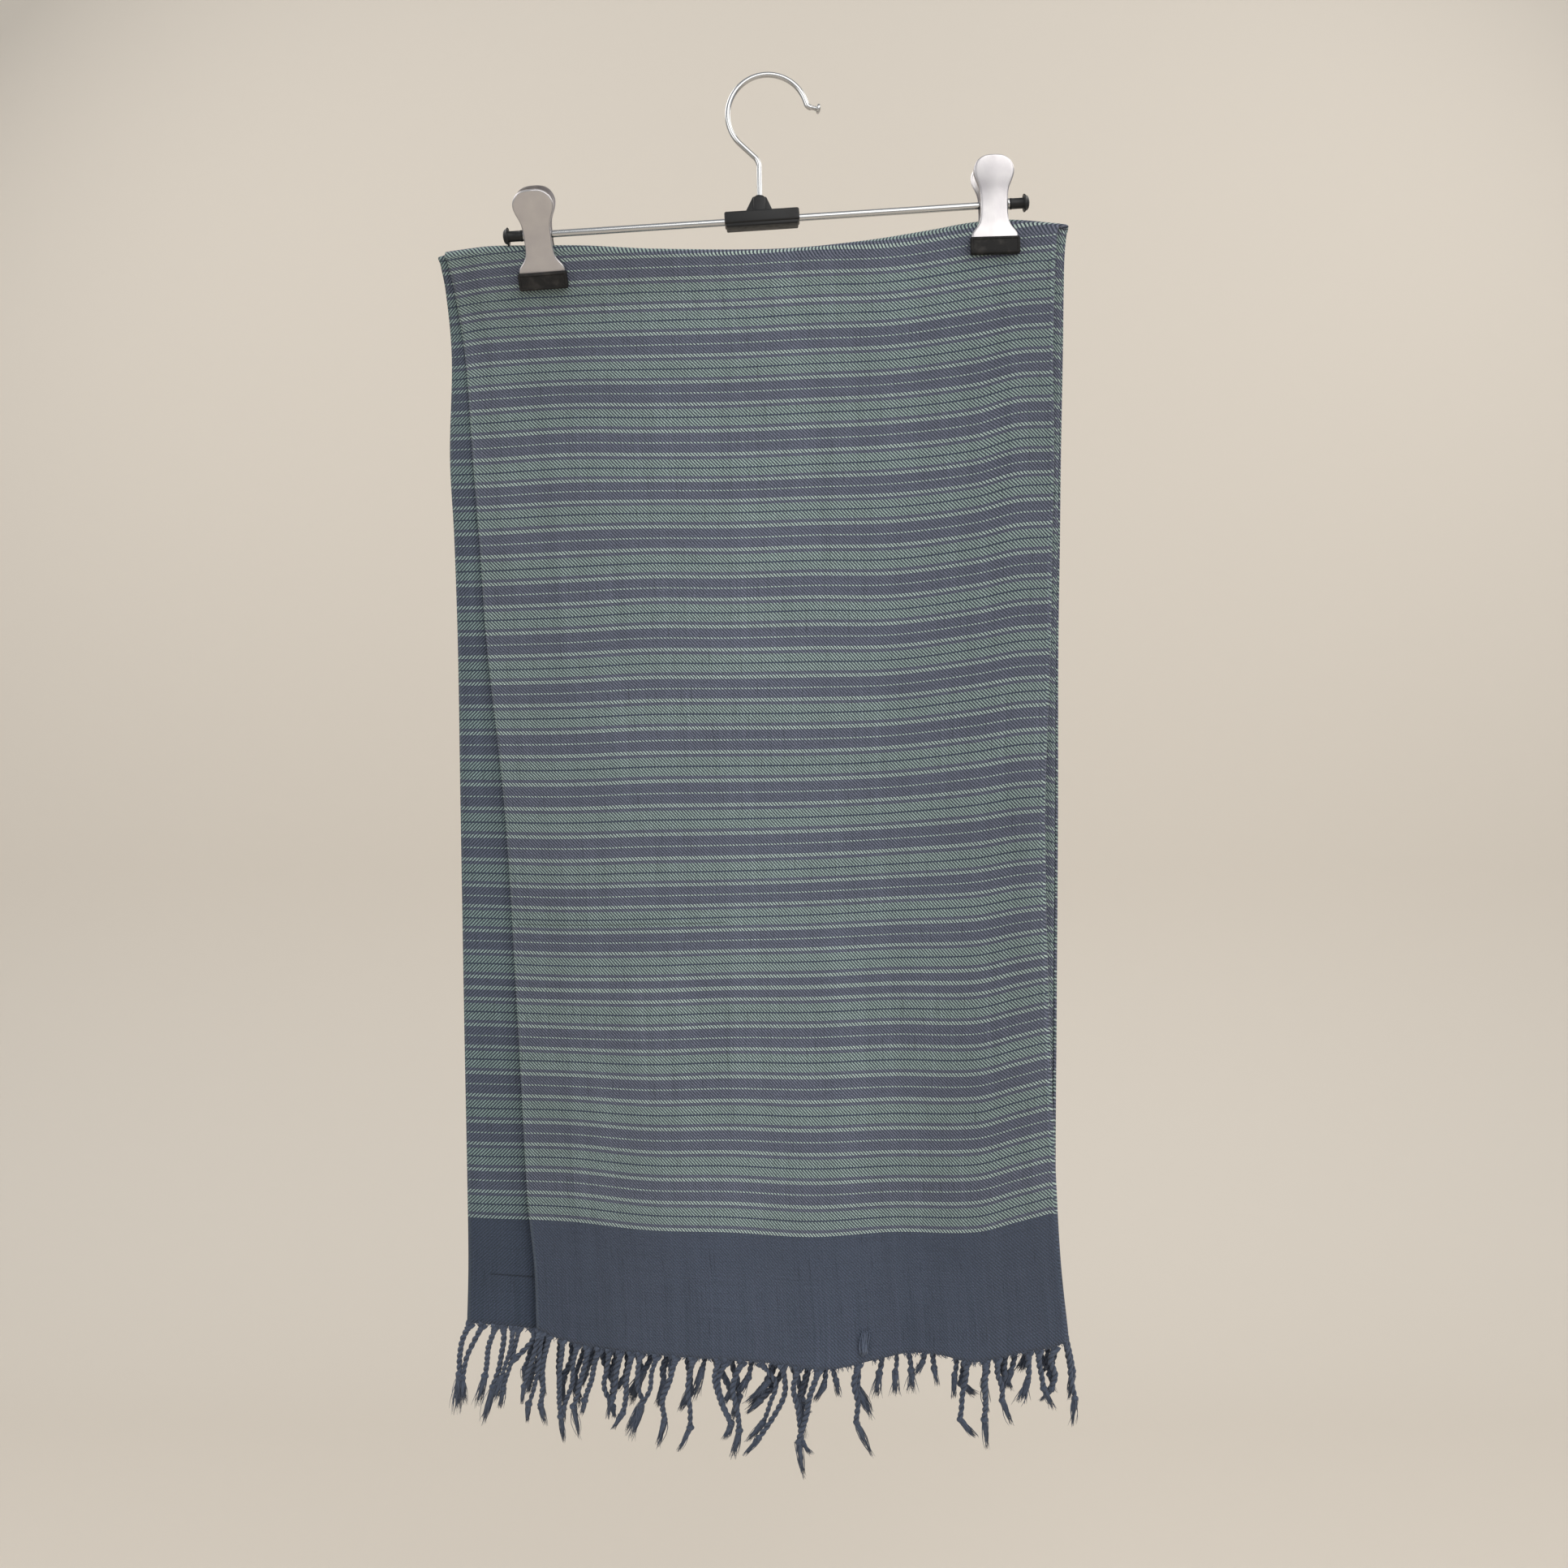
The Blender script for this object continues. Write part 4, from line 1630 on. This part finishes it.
class STOLE_OT_clips(bpy.types.Operator):
    """Presses the clips' plates, moulds their pads and winds their springs"""

    bl_idname = "stole.clips"
    bl_label = "Clips"

    def execute(self, context):
        sizes, colours = context.scene.stole_sizes, context.scene.stole_colours
        steel, rubber = brushed_steel(colours), pad_rubber(colours)
        plate = clip_plate(sizes.plate_thickness / MM)
        finish_piece(plate, "plate_pattern", steel, 40)
        rear = clip_rear_plate(plate)
        finish_piece(rear, "rear_plate_pattern", steel, 40)
        pad = clip_pad()
        finish_piece(pad, "pad_pattern", rubber, 50)
        spring = clip_spring()
        finish_piece(spring, "spring_pattern", bpy.data.materials["chromed_steel"], 60)
        about = Matrix.Rotation(pi, 4, "Z")
        for side in CLIPS:
            place = clip_matrix(side)
            node = "clip_" + side
            copy_piece(plate, f"{side}_clip_front", place, f"{node}_front_plate")
            copy_piece(rear, f"{side}_clip_rear", place @ about, f"{node}_rear_plate")
            copy_piece(pad, f"{side}_front_pad", place, f"{node}_front_pad")
            copy_piece(pad, f"{side}_rear_pad", place @ about, f"{node}_rear_pad")
            copy_piece(spring, f"{side}_spring", place, f"{node}_spring")
        for pattern in (plate, rear, pad, spring):
            bpy.data.objects.remove(pattern)
        return {"FINISHED"}


class STOLE_OT_stage(bpy.types.Operator):
    """Sets the floor, the backdrop, the lights and the camera"""

    bl_idname = "stole.stage"
    bl_label = "Stage"

    def execute(self, context):
        sizes, colours = context.scene.stole_sizes, context.scene.stole_colours
        set_backdrop(colours)
        set_lights(context, sizes)
        set_camera(context)
        return {"FINISHED"}


def set_backdrop(colours):
    """Floor that curves up into a wall, one smooth sheet."""
    profile = [(-STAGE_HALF, FLOOR_Z)]
    for i in range(COVE_STEPS + 1):
        turn = pi / 2 * i / COVE_STEPS
        profile.append((WALL_Y - COVE_R * (1 - sin(turn)), FLOOR_Z + COVE_R * (1 - cos(turn))))
    profile.append((WALL_Y, STAGE_HALF))
    points = [(x, y, z) for y, z in profile for x in (-STAGE_HALF, STAGE_HALF)]
    faces = [(2 * i, 2 * i + 1, 2 * i + 3, 2 * i + 2) for i in range(len(profile) - 1)]
    s = Shader("backdrop", Roughness=0.95)
    s.surface.inputs["Base Color"].default_value = (*colours.backdrop, 1.0)
    made = mesh_object("backdrop", points, faces, s.material)


def set_lights(context, sizes):
    world = bpy.data.worlds.new("soft_room")
    context.scene.world = world
    world.use_nodes = True
    background = world.node_tree.nodes["Background"]
    background.inputs["Color"].default_value = (0.92, 0.96, 1.0, 1.0)
    background.inputs["Strength"].default_value = 0.5
    for name, place, size, share in LIGHTS:
        light = bpy.data.lights.new(name, "AREA")
        light.shape = "DISK"
        light.size = size
        light.energy = sizes.key_light * share
        light.color = (1.0, 0.975, 0.94)
        made = bpy.data.objects.new(name, light)
        made.location = place
        aim = Vector(LIGHTS_AIM) - Vector(place)
        made.rotation_euler = aim.to_track_quat("-Z", "Y").to_euler()
        made.visible_camera = False
        context.scene.collection.objects.link(made)
    context.scene.view_settings.view_transform = "Standard"


def set_camera(context):
    """Camera level with the middle of the cloth and square to it."""
    camera = bpy.data.cameras.new("camera")
    camera.lens = 36.0
    camera.sensor_width = 36.0
    camera.clip_start = 0.01
    made = bpy.data.objects.new("camera", camera)
    made.location = (CAMERA["x"] * MM, CAMERA["y"] * MM, -CAMERA["drop"] * MM)
    made.rotation_euler = (pi / 2, 0, 0)
    context.scene.collection.objects.link(made)
    context.scene.camera = made


class STOLE_PT_panel(bpy.types.Panel):
    """Lists the pieces in the sidebar."""

    bl_idname = "STOLE_PT_panel"
    bl_label = "Stole"
    bl_space_type = "VIEW_3D"
    bl_region_type = "UI"
    bl_category = "Stole"

    def draw(self, context):
        for operator in OPERATORS:
            self.layout.operator(operator.bl_idname)


OPERATORS = (
    STOLE_OT_stage,
    STOLE_OT_hook,
    STOLE_OT_bar,
    STOLE_OT_block,
    STOLE_OT_clips,
    STOLE_OT_cloth,
    STOLE_OT_fringes,
)
CLASSES = (STOLE_PG_sizes, STOLE_PG_colours, *OPERATORS, STOLE_PT_panel)


def register():
    for cls in CLASSES:
        bpy.utils.register_class(cls)
    bpy.types.Scene.stole_sizes = PointerProperty(type=STOLE_PG_sizes)
    bpy.types.Scene.stole_colours = PointerProperty(type=STOLE_PG_colours)


def unregister():
    del bpy.types.Scene.stole_colours
    del bpy.types.Scene.stole_sizes
    for cls in reversed(CLASSES):
        bpy.utils.unregister_class(cls)


def main():
    register()
    bpy.ops.stole.stage()
    bpy.ops.stole.hook()
    bpy.ops.stole.bar()
    bpy.ops.stole.block()
    bpy.ops.stole.clips()
    bpy.ops.stole.cloth()
    bpy.ops.stole.fringes()


if __name__ == "__main__":
    main()
